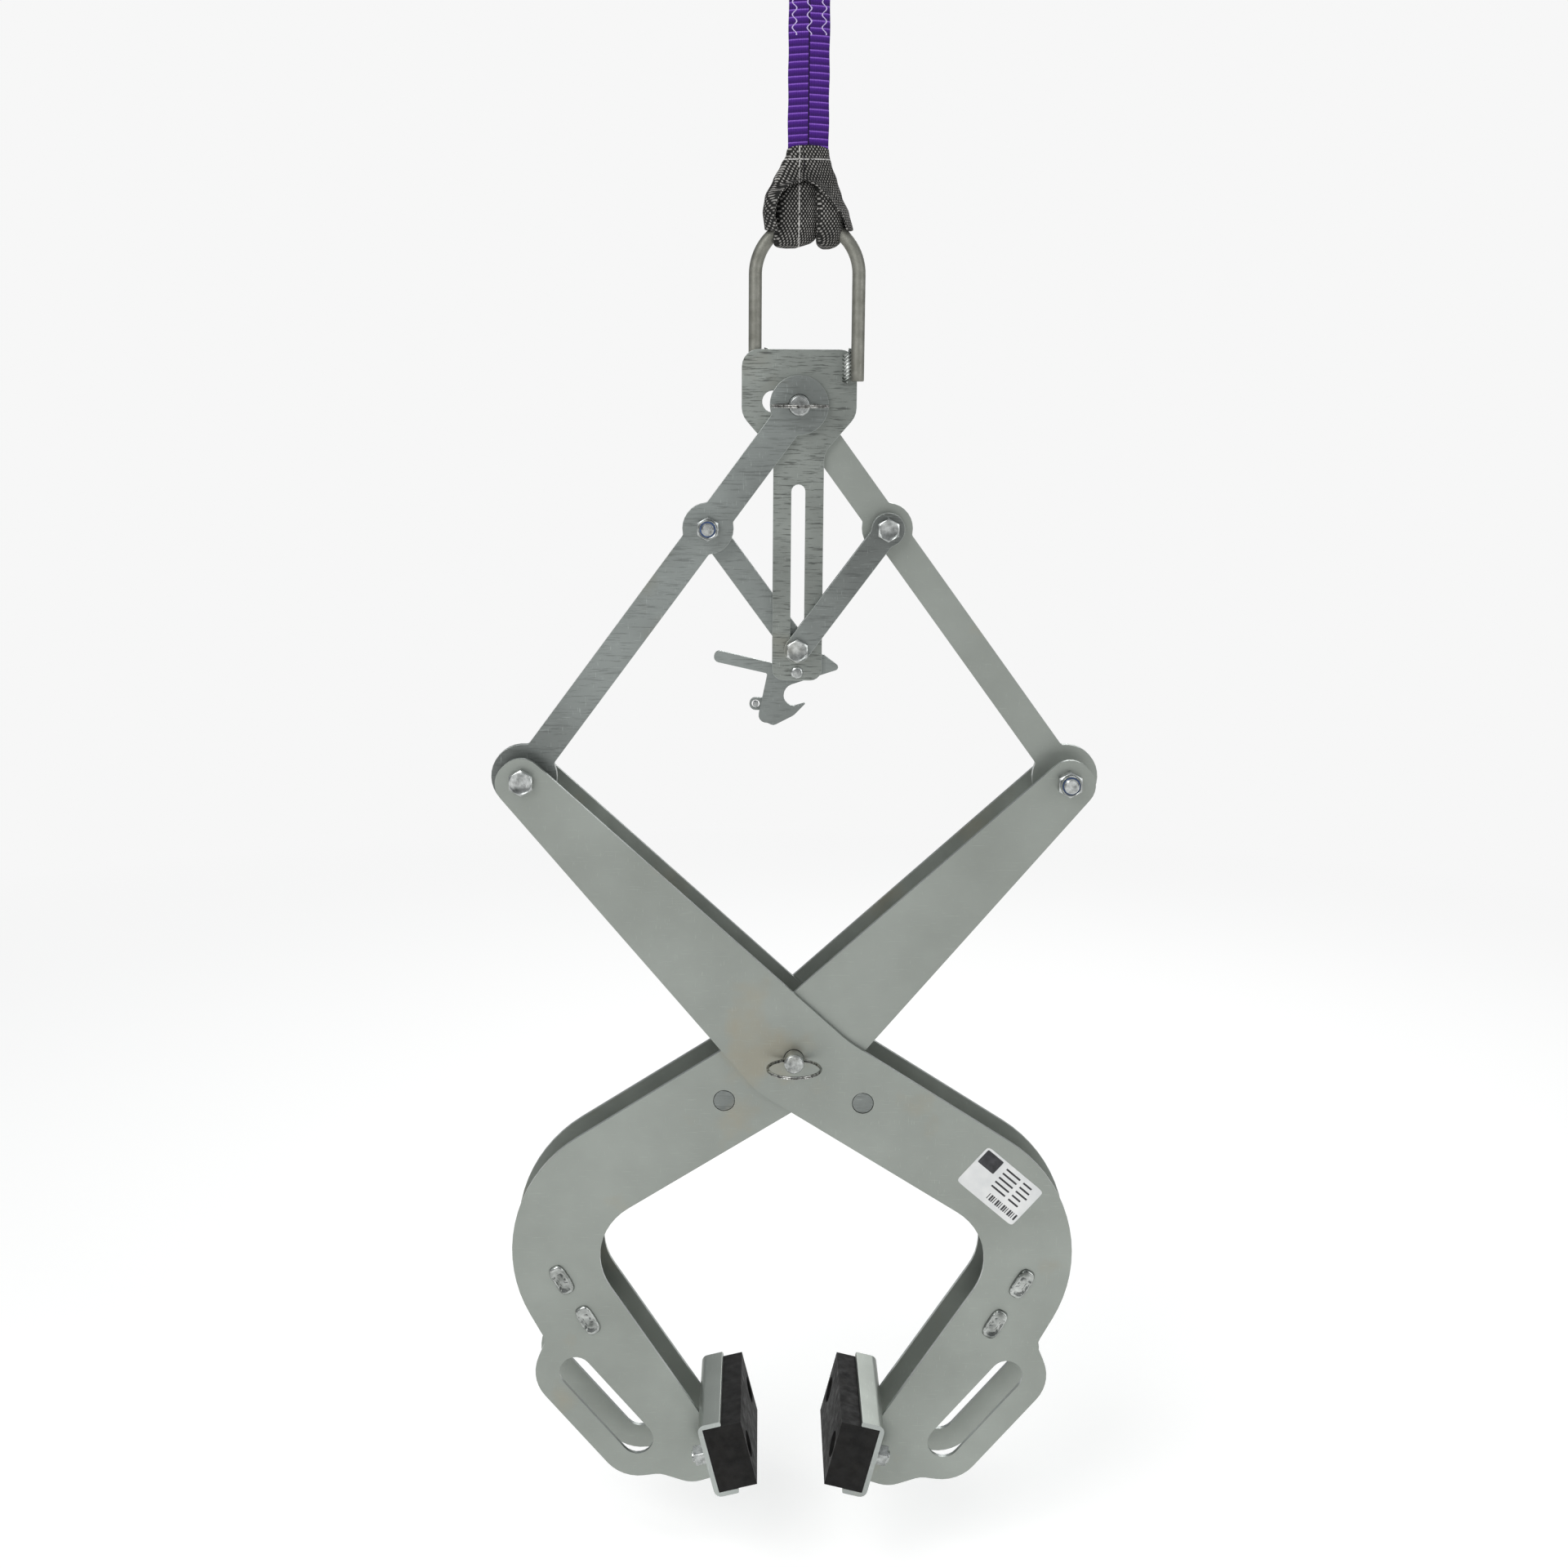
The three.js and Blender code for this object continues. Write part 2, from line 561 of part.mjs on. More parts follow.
function addJaw(arm, side) {
  const jaw = groupAt(arm, JAW_AT[0], 0, JAW_AT[1]);
  jaw.rotation.y = JAW_TILT;
  const [inside, outside] = [PAD_HEIGHT / 2 + REST_GAP, PAD_HEIGHT / 2 + REST_GAP + BRACKET_THICK];
  const layer = [-JAW_LENGTH / 2, JAW_LENGTH / 2];
  const channel = outline([
    [0, outside, BRACKET_CORNER],
    [0, -outside, BRACKET_CORNER],
    [-BRACKET_FLANGE, -outside, 1],
    [-BRACKET_FLANGE, -inside, 1],
    [-BRACKET_THICK, -inside, 0.2],
    [-BRACKET_THICK, inside, 0.2],
    [-BRACKET_FLANGE, inside, 1],
    [-BRACKET_FLANGE, outside, 1],
  ]);
  const face = -BRACKET_THICK - REST_GAP - PAD_THICK;
  const block = new THREE.BoxGeometry(PAD_THICK, JAW_LENGTH, PAD_HEIGHT);
  block.translate(face + PAD_THICK / 2, 0, 0);
  const bores = [];
  const seats = [];
  for (const way of [-1, 1]) {
    const along = (radius, from, to) =>
      bar(radius, from, to).rotateZ(-Math.PI / 2).translate(0, (way * PAD_BOLT_SPACING) / 2, 0);
    bores.push(along(M10.shank + HOLE_GAP, face - 1, 1));
    seats.push(along(COUNTERBORE[0], face - 1, face + COUNTERBORE[1]));
    const bolt = groupAt(jaw, 0, (way * PAD_BOLT_SPACING) / 2, 0);
    bolt.rotation.z = -Math.PI / 2;
    const end = side === 'left' ? way : -way;
    const tag = end < 0 ? 'front' : 'back';
    const names = { bolt: `${side}_pad_bolt_${tag}`, nut: `${side}_pad_nut_${tag}` };
    addBolt(bolt, names, M10, face + COUNTERBORE[1] - REST_GAP, REST_GAP);
  }
  place(jaw, `${side}_jaw_bracket`, cut(flatPlate(channel, layer), ...bores), zincPlate);
  place(jaw, `${side}_jaw_pad`, cut(block, ...bores, ...seats), rubber);
}

function addArm(half, side) {
  const arm = groupAt(half, 0, 0, -hubBelowPin);
  const hubHole =
    side === 'left'
      ? roundHole(0, 0, PIN_RADIUS + HOLE_GAP)
      : slotHole(HUB_SLOT_END, [0, 0], PIN_RADIUS + HUB_SLOT_PLAY);
  place(arm, `${side}_arm_outer_plate`, armPlate(outerLayer, hubHole), zincPlate);
  place(arm, `${side}_arm_inner_plate`, armPlate(innerLayer, hubHole), zincPlate);
  for (const [tag, layer] of [['outer', outerLayer], ['inner', innerLayer]]) {
    const button = groupAt(arm, BUTTON_AT[0], 0, BUTTON_AT[1]);
    const plug = bar(BUTTON_RADIUS, layer[0] + REST_GAP / 2, layer[1] + REST_GAP / 2);
    place(button, `${side}_arm_${tag}_button`, plug, zincLink);
  }
  addWeb(arm, side);
  addJaw(arm, side);

  const top = groupAt(arm, armEye[0], 0, armEye[1]);
  const front = [outerLayer[1] + REST_GAP, linkLayer[0] - REST_GAP];
  const back = [linkLayer[1] + REST_GAP, innerLayer[0] - REST_GAP];
  place(top, `${side}_eye_spacer_short`, bush(10, M12.shank + HOLE_GAP, front), zincBright);
  place(top, `${side}_eye_spacer_long`, bush(10, M12.shank + HOLE_GAP, back), zincBright);
  const names = { bolt: `${side}_eye_bolt`, nut: `${side}_eye_nut` };
  addBolt(top, names, M12, outerLayer[0] - REST_GAP, innerLayer[1] + REST_GAP);
}

for (const [side, turn] of [['left', 0], ['right', Math.PI]]) {
  const half = groupAt(head, 0, 0, 0);
  half.rotation.z = turn;
  addLinks(half, side);
  addArm(half, side);
}

// ---- Slider bolt, through both short links and the guide plate's slot ----

const slider = groupAt(head, 0, 0, -sliderBelowPin);
const sliderNames = { bolt: 'slider_bolt', nut: 'slider_nut' };
addBolt(slider, sliderNames, M10, -shortLayer[1] - REST_GAP, shortLayer[1] + REST_GAP);

// ---- Hub pin, through all four arm plates, with a wide washer under its head ----

const hub = groupAt(head, 0, 0, -hubBelowPin);
const lastFace = -outerLayer[0] + FACE_GAP;
const hubWasher = bush(HUB_WASHER[0], PIN_RADIUS + HOLE_GAP, [lastFace, lastFace + HUB_WASHER[1]]);
addRingPin(hub, { pin: 'hub_pin', ring: 'hub_pin_ring' }, outerLayer[0], lastFace + HUB_WASHER[1] + REST_GAP);
place(hub, 'hub_washer', hubWasher, zincBright);

// ---- Latch behind the foot of the guide plate: a hand lever, a nose and a hook for the hub pin ----

function addLatch() {
  const latch = groupAt(head, 0, 0, -RIVET_BELOW_PIN);
  const layer = [headLayer[1] + FACE_GAP, headLayer[1] + FACE_GAP + LATCH_THICK];
  const shape = outline([
    [-64.1, 16.8, 4.4],
    [-18, 6.2, 6],
    [-8, 4.6, 6],
    [8, 7.8, 6],
    [20.5, 13.8, 2],
    [35.5, 2.6, 2.5],
    [-10.1, -12.4, 9.3],
    [-10.1, -30.1, 7.8],
    [7.8, -24.9, 0.4],
    [-2, -35.2, 12],
    [-18.2, -43.6, 4],
    [-23, -41.2, 2],
    [-31.5, -42.5, 6],
    [-23, -1.8, 1.5],
    [-66.1, 7.8, 4.4],
  ]);
  shape.holes.push(roundHole(0, 0, RIVET[0] + HOLE_GAP));
  place(latch, 'latch_plate', flatPlate(shape, layer), zincLink);

  const rivetProfile = [
    [0, headLayer[0] - REST_GAP - RIVET[2]],
    [RIVET[1] * 0.6, headLayer[0] - REST_GAP - RIVET[2]],
    [RIVET[1], headLayer[0] - REST_GAP - RIVET[2] * 0.4],
    [RIVET[1], headLayer[0] - REST_GAP],
    [RIVET[0], headLayer[0] - REST_GAP],
    [RIVET[0], layer[1] + FACE_GAP],
    [RIVET[1], layer[1] + FACE_GAP],
    [RIVET[1], layer[1] + FACE_GAP + 1.2],
    [0, layer[1] + FACE_GAP + RIVET[2]],
  ].map(([r, y]) => new THREE.Vector2(r, y));
  place(latch, 'latch_rivet', new THREE.LatheGeometry(rivetProfile, 20), zincBright);

  const lug = groupAt(latch, LUG_AT[0], 0, LUG_AT[1]);
  const lugLayer = [layer[1] + REST_GAP, layer[1] + REST_GAP + LATCH_THICK];
  const tongue = outline([
    [-LUG_RADIUS, LUG_RADIUS, LUG_RADIUS - 0.1],
    [9, LUG_RADIUS, 0.5],
    [9, -LUG_RADIUS, 0.5],
    [-LUG_RADIUS, -LUG_RADIUS, LUG_RADIUS - 0.1],
  ]);
  tongue.holes.push(roundHole(0, 0, 3.2));
  place(lug, 'latch_lug', flatPlate(tongue, lugLayer), zincLink);
  place(lug, 'latch_lug_pin', bar(2.2, lugLayer[0] - 3, lugLayer[1] + 1, 16), zincBright);
}
addLatch();

export default grab;
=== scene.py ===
import json
import math

import bmesh
import bpy
from mathutils import Matrix, Vector


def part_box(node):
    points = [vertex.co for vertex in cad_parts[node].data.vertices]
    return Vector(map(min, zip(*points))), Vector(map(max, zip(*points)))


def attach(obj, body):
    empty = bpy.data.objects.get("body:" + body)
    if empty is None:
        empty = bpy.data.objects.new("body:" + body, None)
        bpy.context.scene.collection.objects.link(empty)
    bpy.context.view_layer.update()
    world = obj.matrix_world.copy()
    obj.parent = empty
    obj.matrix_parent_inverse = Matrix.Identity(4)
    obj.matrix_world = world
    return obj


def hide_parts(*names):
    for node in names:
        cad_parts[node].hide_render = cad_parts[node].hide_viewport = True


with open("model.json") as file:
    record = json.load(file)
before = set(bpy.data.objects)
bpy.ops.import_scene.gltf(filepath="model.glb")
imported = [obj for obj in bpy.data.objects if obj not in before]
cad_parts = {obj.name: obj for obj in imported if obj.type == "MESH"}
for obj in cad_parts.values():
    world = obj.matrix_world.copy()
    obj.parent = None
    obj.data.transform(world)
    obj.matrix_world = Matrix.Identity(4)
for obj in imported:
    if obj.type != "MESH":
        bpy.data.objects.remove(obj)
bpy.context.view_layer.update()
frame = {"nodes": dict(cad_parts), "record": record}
scene = bpy.context.scene

# ---- Camera ----
# It stands in front of the grab, a little to its left, and level with the guide plate. From
# there it looks down at the arms.

camera_data = bpy.data.cameras.new("camera")
camera_data.sensor_width = 36.0
camera_data.lens = 46.4
CAMERA_AT = (-0.033, -1.574, -0.101)
camera = bpy.data.objects.new("camera", camera_data)
scene.collection.objects.link(camera)
scene.camera = camera
look_down = math.radians(11.9)
look_right = math.radians(0.68)
lean = math.radians(0.45)
camera.matrix_world = (
    Matrix.Translation(CAMERA_AT)
    @ Matrix.Rotation(-look_right, 4, "Z")
    @ Matrix.Rotation(math.pi / 2 - look_down, 4, "X")
    @ Matrix.Rotation(lean, 4, "Z")
)

# ---- Sling webbing ----
# Violet polyester webbing, folded lengthwise and woven with lilac cross ribs, each with a painted
# highlight on its crest. It runs up taut from the choke on the bow to its sewn eye, with one dark seam
# down the middle of its face.

WEB_HALF_WIDTH = 0.0153
WEB_HALF_THICK = 0.0036
WEB_FOOT = 0.008
WEB_HEAD = 0.1958
RIB_PITCH = 0.0052
SEAM_HALF_WIDTH = 0.0005
STITCHED_ABOVE = 0.132
STITCH_WAVE = 0.009
STITCH_SWAY = 0.0016
STITCH_ROW_SPACING = 0.0055
STITCH_HALF_WIDTH = 0.00045
YARN_PITCH = 0.0011


class Nodes:
    """A short hand for wiring one procedural material."""

    def __init__(self, name):
        self.material = bpy.data.materials.new(name)
        self.material.use_nodes = True
        self.tree = self.material.node_tree
        self.shader = self.tree.nodes["Principled BSDF"]
        self.place = self.add("ShaderNodeTexCoord").outputs["Object"]

    def add(self, kind, **settings):
        node = self.tree.nodes.new(kind)
        for key, value in settings.items():
            setattr(node, key, value)
        return node

    def wire(self, source, target):
        self.tree.links.new(source, target)

    def noise(self, scale, detail=3.0, stretch=(1, 1, 1), rough=0.55):
        mapping = self.add("ShaderNodeMapping")
        mapping.inputs["Scale"].default_value = stretch
        self.wire(self.place, mapping.inputs["Vector"])
        node = self.add("ShaderNodeTexNoise")
        node.inputs["Scale"].default_value = scale
        node.inputs["Detail"].default_value = detail
        node.inputs["Roughness"].default_value = rough
        self.wire(mapping.outputs["Vector"], node.inputs["Vector"])
        return node.outputs["Fac"]

    def ramp(self, value, *stops):
        node = self.add("ShaderNodeValToRGB")
        band = node.color_ramp
        while len(band.elements) < len(stops):
            band.elements.new(0.5)
        for element, (at, color) in zip(band.elements, stops):
            element.position = at
            element.color = (*color, 1) if len(color) == 3 else color
        self.wire(value, node.inputs["Fac"])
        return node.outputs["Color"]

    def mix(self, share, low, high, blend="MIX"):
        node = self.add("ShaderNodeMix", data_type="RGBA", blend_type=blend)
        for socket, value in ((node.inputs[0], share), (node.inputs[6], low), (node.inputs[7], high)):
            if hasattr(value, "is_linked"):
                self.wire(value, socket)
            else:
                socket.default_value = value if not isinstance(value, tuple) else (*value, 1)
        return node.outputs[2]

    def math(self, kind, a, b):
        node = self.add("ShaderNodeMath", operation=kind)
        for socket, value in zip(node.inputs, (a, b)):
            if hasattr(value, "is_linked"):
                self.wire(value, socket)
            else:
                socket.default_value = value
        return node.outputs[0]

    def axis(self, letter):
        node = self.add("ShaderNodeSeparateXYZ")
        self.wire(self.place, node.inputs[0])
        return node.outputs[letter]

    def bump(self, height, strength, distance):
        node = self.add("ShaderNodeBump")
        node.inputs["Strength"].default_value = strength
        node.inputs["Distance"].default_value = distance
        self.wire(height, node.inputs["Height"])
        self.wire(node.outputs["Normal"], self.shader.inputs["Normal"])


def woven(name, dark, light, rib, seam=None, stitch_from=None):
    """Ribbed webbing: lilac cross ribs with a painted highlight on their crests, staggered on the two sides
    of its middle.
    """
    n = Nodes(name)
    x, z = n.axis("X"), n.axis("Z")
    side = n.math("MULTIPLY", n.math("SIGN", x, 0.0), 0.25)
    bow_down = n.math("MULTIPLY", n.math("ABSOLUTE", x, 0.0), 12.0)
    turns = n.math("ADD", n.math("ADD", n.math("DIVIDE", z, rib), side), bow_down)
    ribs = n.math("FRACT", turns, 0.0)
    fine = n.noise(3000, 3, (1, 1, 0.4))
    thread = n.math("SINE", n.math("MULTIPLY", x, 2 * math.pi / YARN_PITCH), 0.0)
    # The crest ramp paints a highlight on each rib's crest, with darker yarn between; the pale colour is also
    # the ribs' lilac yarn.
    crest = n.ramp(
        ribs, (0.0, (0.12,) * 3), (0.5, (0.42,) * 3), (0.68, (1, 1, 1)), (0.8, (0.1,) * 3), (1.0, (0.12,) * 3)
    )
    cover = n.math("ADD", n.math("MULTIPLY", crest, 0.7), n.math("MULTIPLY", fine, 0.35))
    cover = n.math("ADD", cover, n.math("MULTIPLY", thread, 0.06))
    color = n.ramp(cover, (0.2, tuple(c * 0.35 for c in dark)), (0.5, dark), (0.92, light))
    if seam:
        near = n.math("LESS_THAN", n.math("ABSOLUTE", x, 0.0), seam)
        color = n.mix(near, color, tuple(c * 0.12 for c in dark))
    if stitch_from:
        wave = n.math("SINE", n.math("MULTIPLY", z, 2 * math.pi / STITCH_WAVE), 0.0)
        wave = n.math("MULTIPLY", wave, STITCH_SWAY)
        row = n.math("PINGPONG", n.math("ADD", x, wave), STITCH_ROW_SPACING)
        thread_line = n.math("LESS_THAN", row, STITCH_HALF_WIDTH)
        above = n.math("GREATER_THAN", z, stitch_from)
        color = n.mix(n.math("MULTIPLY", thread_line, above), color, (0.5, 0.42, 0.66))
    n.wire(color, n.shader.inputs["Base Color"])
    n.shader.inputs["Roughness"].default_value = 0.75
    n.shader.inputs["Specular IOR Level"].default_value = 0.2
    n.bump(cover, 0.8, 0.0009)
    return n.material


def add_piece(name, mesh, body, material, *nodes):
    piece = bpy.data.objects.new(name, mesh)
    scene.collection.objects.link(piece)
    for one in material if isinstance(material, list) else [material]:
        mesh.materials.append(one)
    if nodes:
        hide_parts(*nodes)
    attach(piece, body)
    return piece


def skin(groups, crease=None):
    """One mesh from closed skins, each a list of rings with equal counts of points.

    Edges that turn by more than the crease angle stay sharp."""
    bm = bmesh.new()
    for rings in groups:
        loops = [[bm.verts.new(p) for p in ring] for ring in rings]
        count = len(loops[0])
        for low, high in zip(loops, loops[1:]):
            for i in range(count):
                j = (i + 1) % count
                bm.faces.new((low[i], low[j], high[j], high[i]))
        bm.faces.new(loops[0][::-1])
        bm.faces.new(loops[-1])
    bmesh.ops.recalc_face_normals(bm, faces=bm.faces)
    for face in bm.faces:
        face.smooth = True
    if crease:
        for edge in bm.edges:
            edge.smooth = edge.calc_face_angle(0) < crease
    mesh = bpy.data.meshes.new("skin")
    bm.to_mesh(mesh)
    bm.free()
    return mesh


def loft(rings):
    """A smooth skin over one run of rings."""
    return skin([rings])


def web_section(half_width, half_thick, groove=0.0006, steps=40):
    """Flat webbing in section: full rounded edges and a shallow groove down its middle."""
    points = []
    for i in range(steps):
        t = 2 * math.pi * i / steps
        c, s = math.cos(t), math.sin(t)
        x = half_width * math.copysign(abs(c) ** 0.45, c)
        y = half_thick * math.copysign(abs(s) ** 0.6, s)
        y -= math.copysign(groove, y) * math.exp(-((x / 0.0012) ** 2))
        points.append((x, y))
    return points


violet_webbing = woven(
    "violet_webbing", (0.065, 0.012, 0.22), (0.3, 0.14, 0.62), RIB_PITCH, SEAM_HALF_WIDTH, STITCHED_ABOVE
)
web_rings = []
WEB_STEPS = 180
for i in range(WEB_STEPS + 1):
    z = WEB_FOOT + (WEB_HEAD - WEB_FOOT) * i / WEB_STEPS
    swell = 1 + 0.03 * math.sin(z * 2 * math.pi / RIB_PITCH)
    wave = 1 + 0.012 * math.sin(z * 190 + 0.6)
    web_rings.append([(x * wave, y * swell, z) for x, y in web_section(WEB_HALF_WIDTH, WEB_HALF_THICK)])
webbing = add_piece("webbing", loft(web_rings), "frame", violet_webbing, "sling_webbing")

# ---- Sewn eye of the sling ----
# The end of the webbing is turned back on itself and sewn down over its own face. That leaves
# an eye for a hoist hook.

EYE_FOOT_AT = 0.1963
EYE_TOP_AT = 0.2803
EYE_HALF = 0.0192
EYE_CREST = 0.003
SEWN_IN = 0.004
EYE_STEPS = 48
eye_line = []
for i in range(EYE_STEPS + 1):
    turn = math.pi * (i / EYE_STEPS - 0.5) * 2
    lift = math.cos(turn / 2)
    z = EYE_FOOT_AT - SEWN_IN + (EYE_TOP_AT - EYE_CREST - EYE_FOOT_AT + SEWN_IN) * lift
    eye_line.append((math.sin(turn) * EYE_HALF * lift ** 0.7, z))


def band_along(line, half_width, half_thick):
    """Webbing that follows a line in the YZ plane, with its width along X."""
    rings = []
    for i, (y, z) in enumerate(line):
        before, after = line[max(i - 1, 0)], line[min(i + 1, len(line) - 1)]
        tangent = Vector((after[0] - before[0], after[1] - before[1])).normalized()
        normal = Vector((-tangent[1], tangent[0]))
        section = web_section(half_width, half_thick, 0.0003)
        rings.append([(x, y + normal[0] * s, z + normal[1] * s) for x, s in section])
    return loft(rings)


eye = add_piece("sewn_eye", band_along(eye_line, 0.0152, 0.0024), "frame", violet_webbing, "sling_eye")

# ---- Wear sleeve ----
# A sleeve of dark grey woven cloth round the sling, which is choked on the bow. It has a collar
# with an arch in its front, and two strands that come out under the arch and round the rod.

PICK = 0.0026
ROW = 0.0036
SEAM_AT = -0.0065
HEM_AT = 0.0440
THREAD_HALF = 0.0005

sleeve = Nodes("sleeve_cloth")
across = sleeve.math("ADD", sleeve.axis("X"), sleeve.axis("Y"))
warp = sleeve.math("SINE", sleeve.math("MULTIPLY", across, 2 * math.pi / PICK), 0.0)
weft = sleeve.math("SINE", sleeve.math("MULTIPLY", sleeve.axis("Z"), 2 * math.pi / ROW), 0.0)
basket = sleeve.math("MULTIPLY", warp, weft)
worn = sleeve.math("MULTIPLY", sleeve.noise(420, 3), 0.9)
yarn = sleeve.math("ADD", basket, worn)
yarn_color = sleeve.ramp(
    yarn, (0.42, (0.014, 0.014, 0.013)), (0.74, (0.05, 0.048, 0.045)), (1.0, (0.37, 0.36, 0.34))
)
seam_line = sleeve.math("ABSOLUTE", sleeve.math("SUBTRACT", sleeve.axis("X"), SEAM_AT), 0.0)
seam_line = sleeve.math("LESS_THAN", seam_line, THREAD_HALF)
hem_line = sleeve.math("ABSOLUTE", sleeve.math("SUBTRACT", sleeve.axis("Z"), HEM_AT), 0.0)
hem_line = sleeve.math("LESS_THAN", hem_line, THREAD_HALF)
stitches = sleeve.math("GREATER_THAN", sleeve.noise(500, 2), 0.44)
thread_at = sleeve.math("MULTIPLY", sleeve.math("MAXIMUM", seam_line, hem_line), stitches)
yarn_color = sleeve.mix(thread_at, yarn_color, (0.55, 0.54, 0.52))
shade = sleeve.ramp(sleeve.noise(45, 3), (0.3, (0.55,) * 3), (0.7, (1.15,) * 3))
sleeve.wire(sleeve.mix(1.0, yarn_color, shade, "MULTIPLY"), sleeve.shader.inputs["Base Color"])
sleeve.shader.inputs["Roughness"].default_value = 0.85
sleeve.shader.inputs["Specular IOR Level"].default_value = 0.25
sleeve.bump(yarn, 0.8, 0.0007)
sleeve_cloth = sleeve.material


def between(table, at):
    """The value at a height, eased between the rows of a table of (height, value, ...)."""
    for high, low in zip(table, table[1:]):
        if at >= low[0]:
            share = min(1, (high[0] - at) / (high[0] - low[0]))
            share = share * share * (3 - 2 * share) * 0.5 + share * 0.5
            return [a + (b - a) * share for a, b in zip(high[1:], low[1:])]
    return list(table[-1][1:])


# The collar's left and right edge and its half depth at some heights, and the arch in its front.
COLLAR = [
    (0.0545, -0.0158, 0.0155, 0.0056),
    (0.049, -0.0166, 0.0160, 0.0062),
    (0.041, -0.0205, 0.0178, 0.0085),
    (0.0295, -0.0262, 0.0220, 0.0118),
    (0.0174, -0.0322, 0.0258, 0.0160),
    (0.006, -0.0338, 0.0312, 0.0172),
    (-0.0068, -0.0322, 0.0345, 0.0160),
]
ARCH = [
    (0.0300, -0.0030, -0.0029),
    (0.0285, -0.0095, 0.0030),
    (0.0255, -0.0150, 0.0075),
    (0.0200, -0.0205, 0.0125),
    (0.0130, -0.0238, 0.0190),
    (0.0040, -0.0250, 0.0262),
    (-0.0068, -0.0225, 0.0300),
]
ARCH_ROLL = 0.0052  # how far the arch's rim stands out
ARCH_ROLL_WIDTH = 0.0045
COLLAR_ROWS = 90
COLLAR_STEPS = 120
CLOTH_THICKNESS = 0.0018


def collar_turn(x, left, right):
    """The angle at which the front of the collar's outline passes through x."""
    share = max(-1.0, min(1.0, (2 * x - left - right) / (right - left)))
    return 2 * math.pi - math.acos(math.copysign(abs(share) ** (1 / 0.7), share))


collar_bm = bmesh.new()
collar_rows = []
for i in range(COLLAR_ROWS + 1):
    z = COLLAR[0][0] + (COLLAR[-1][0] - COLLAR[0][0]) * i / COLLAR_ROWS
    down = i / COLLAR_ROWS
    left, right, depth = between(COLLAR, z)
    edge_left, edge_right = ARCH[0][1], ARCH[0][2]
    if z < ARCH[0][0]:
        edge_left, edge_right = between(ARCH, z)
    start = collar_turn(edge_right, left, right)
    end = collar_turn(edge_left, left, right) + 2 * math.pi
    row = []
    for j in range(COLLAR_STEPS + 1):
        t = start + (end - start) * j / COLLAR_STEPS
        c, s = math.cos(t), math.sin(t)
        pleat = 0.0007 * math.sin(5 * t + 60 * z) * down + 0.0003 * math.sin(11 * t - 90 * z)
        x = (left + right) / 2 + (right - left) / 2 * math.copysign(abs(c) ** 0.7, c)
        y = (depth + pleat) * math.copysign(abs(s) ** 0.75, s)
        from_edge = min(abs(x - edge_left), abs(x - edge_right)) if s < 0 else 1.0
        open_share = min(1.0, max(0.0, (ARCH[0][0] + 0.004 - z) / 0.008))
        y -= ARCH_ROLL * open_share * math.exp(-((from_edge / ARCH_ROLL_WIDTH) ** 2))
        hang = 0.003 * (1 - c * c) * down if s < 0 else 0.0
        crown = 0.0028 * c * c * (1 - down) ** 4
        row.append(collar_bm.verts.new((x, y, z - hang - crown)))
    collar_rows.append(row)
for high, low in zip(collar_rows, collar_rows[1:]):
    for j in range(COLLAR_STEPS):
        collar_bm.faces.new((high[j], low[j], low[j + 1], high[j + 1]))
bmesh.ops.remove_doubles(collar_bm, verts=collar_bm.verts, dist=2e-5)
bmesh.ops.recalc_face_normals(collar_bm, faces=collar_bm.faces)
for face in collar_bm.faces:
    face.smooth = True
collar_mesh = bpy.data.meshes.new("collar")
collar_bm.to_mesh(collar_mesh)
collar_bm.free()
sleeve_collar = add_piece("sleeve_collar", collar_mesh, "frame", sleeve_cloth, "sling_sleeve")
cloth_thickness = sleeve_collar.modifiers.new("cloth", "SOLIDIFY")
cloth_thickness.thickness = CLOTH_THICKNESS
cloth_thickness.offset = -1
finer = sleeve_collar.modifiers.new("finer", "SUBSURF")
finer.levels = finer.render_levels = 1


SPLINE_STEPS = 8


def wrap_round_rod(name, centre, half_width, half_thick, reach, skew):
    """A strand of the sleeve that comes down in front of the rod, under it and up behind."""
    low, front, top = reach
    line = [
        (-front + 0.004, top), (-front + 0.0012, top - 0.007), (-front, 0.006), (-front, -0.003),
        (-front + 0.002, -0.010), (-0.0055, low + 0.0015), (0.0, low), (0.0055, low + 0.0015),
        (front - 0.002, -0.009), (front, 0.0), (front - 0.001, 0.008), (front - 0.003, top - 0.004),
    ]
    smooth = []
    for i in range(len(line) - 1):
        quad = [Vector(line[max(0, min(len(line) - 1, i + k))]) for k in (-1, 0, 1, 2)]
        for k in range(SPLINE_STEPS):
            t = k / SPLINE_STEPS
            a, b, c, d = quad
            square = (2 * a - 5 * b + 4 * c - d) * t * t
            cube = (3 * b - a - 3 * c + d) * t ** 3
            smooth.append(0.5 * (2 * b + (c - a) * t + square + cube))
    rings = []
    for i, point in enumerate(smooth):
        tangent = (smooth[min(i + 1, len(smooth) - 1)] - smooth[max(i - 1, 0)]).normalized()
        out = Vector((-tangent[1], tangent[0]))
        share = i / (len(smooth) - 1)
        ring = []
        for x, s in web_section(half_width, half_thick, 0.0, 44):
            ripple = 0.0003 * math.sin(x * 420 + share * 9) + 0.0002 * math.sin(share * 30 + x * 200)
            lean = skew * math.sin(math.pi * share)
            ripple += 0.0034 * abs(x / half_width) ** 3
            tilt = 0.16 * x * math.sin(math.pi * share)
            taper = 0.62 + 0.38 * min(1.0, 2.6 * math.sin(math.pi * share)) ** 0.7
            ring.append((centre * taper + x * taper + lean,
                         point[0] + out[0] * (s + ripple), point[1] + out[1] * (s + ripple) + tilt))
        rings.append(ring)
    strand = add_piece(name, loft(rings), "frame", sleeve_cloth)
    return strand


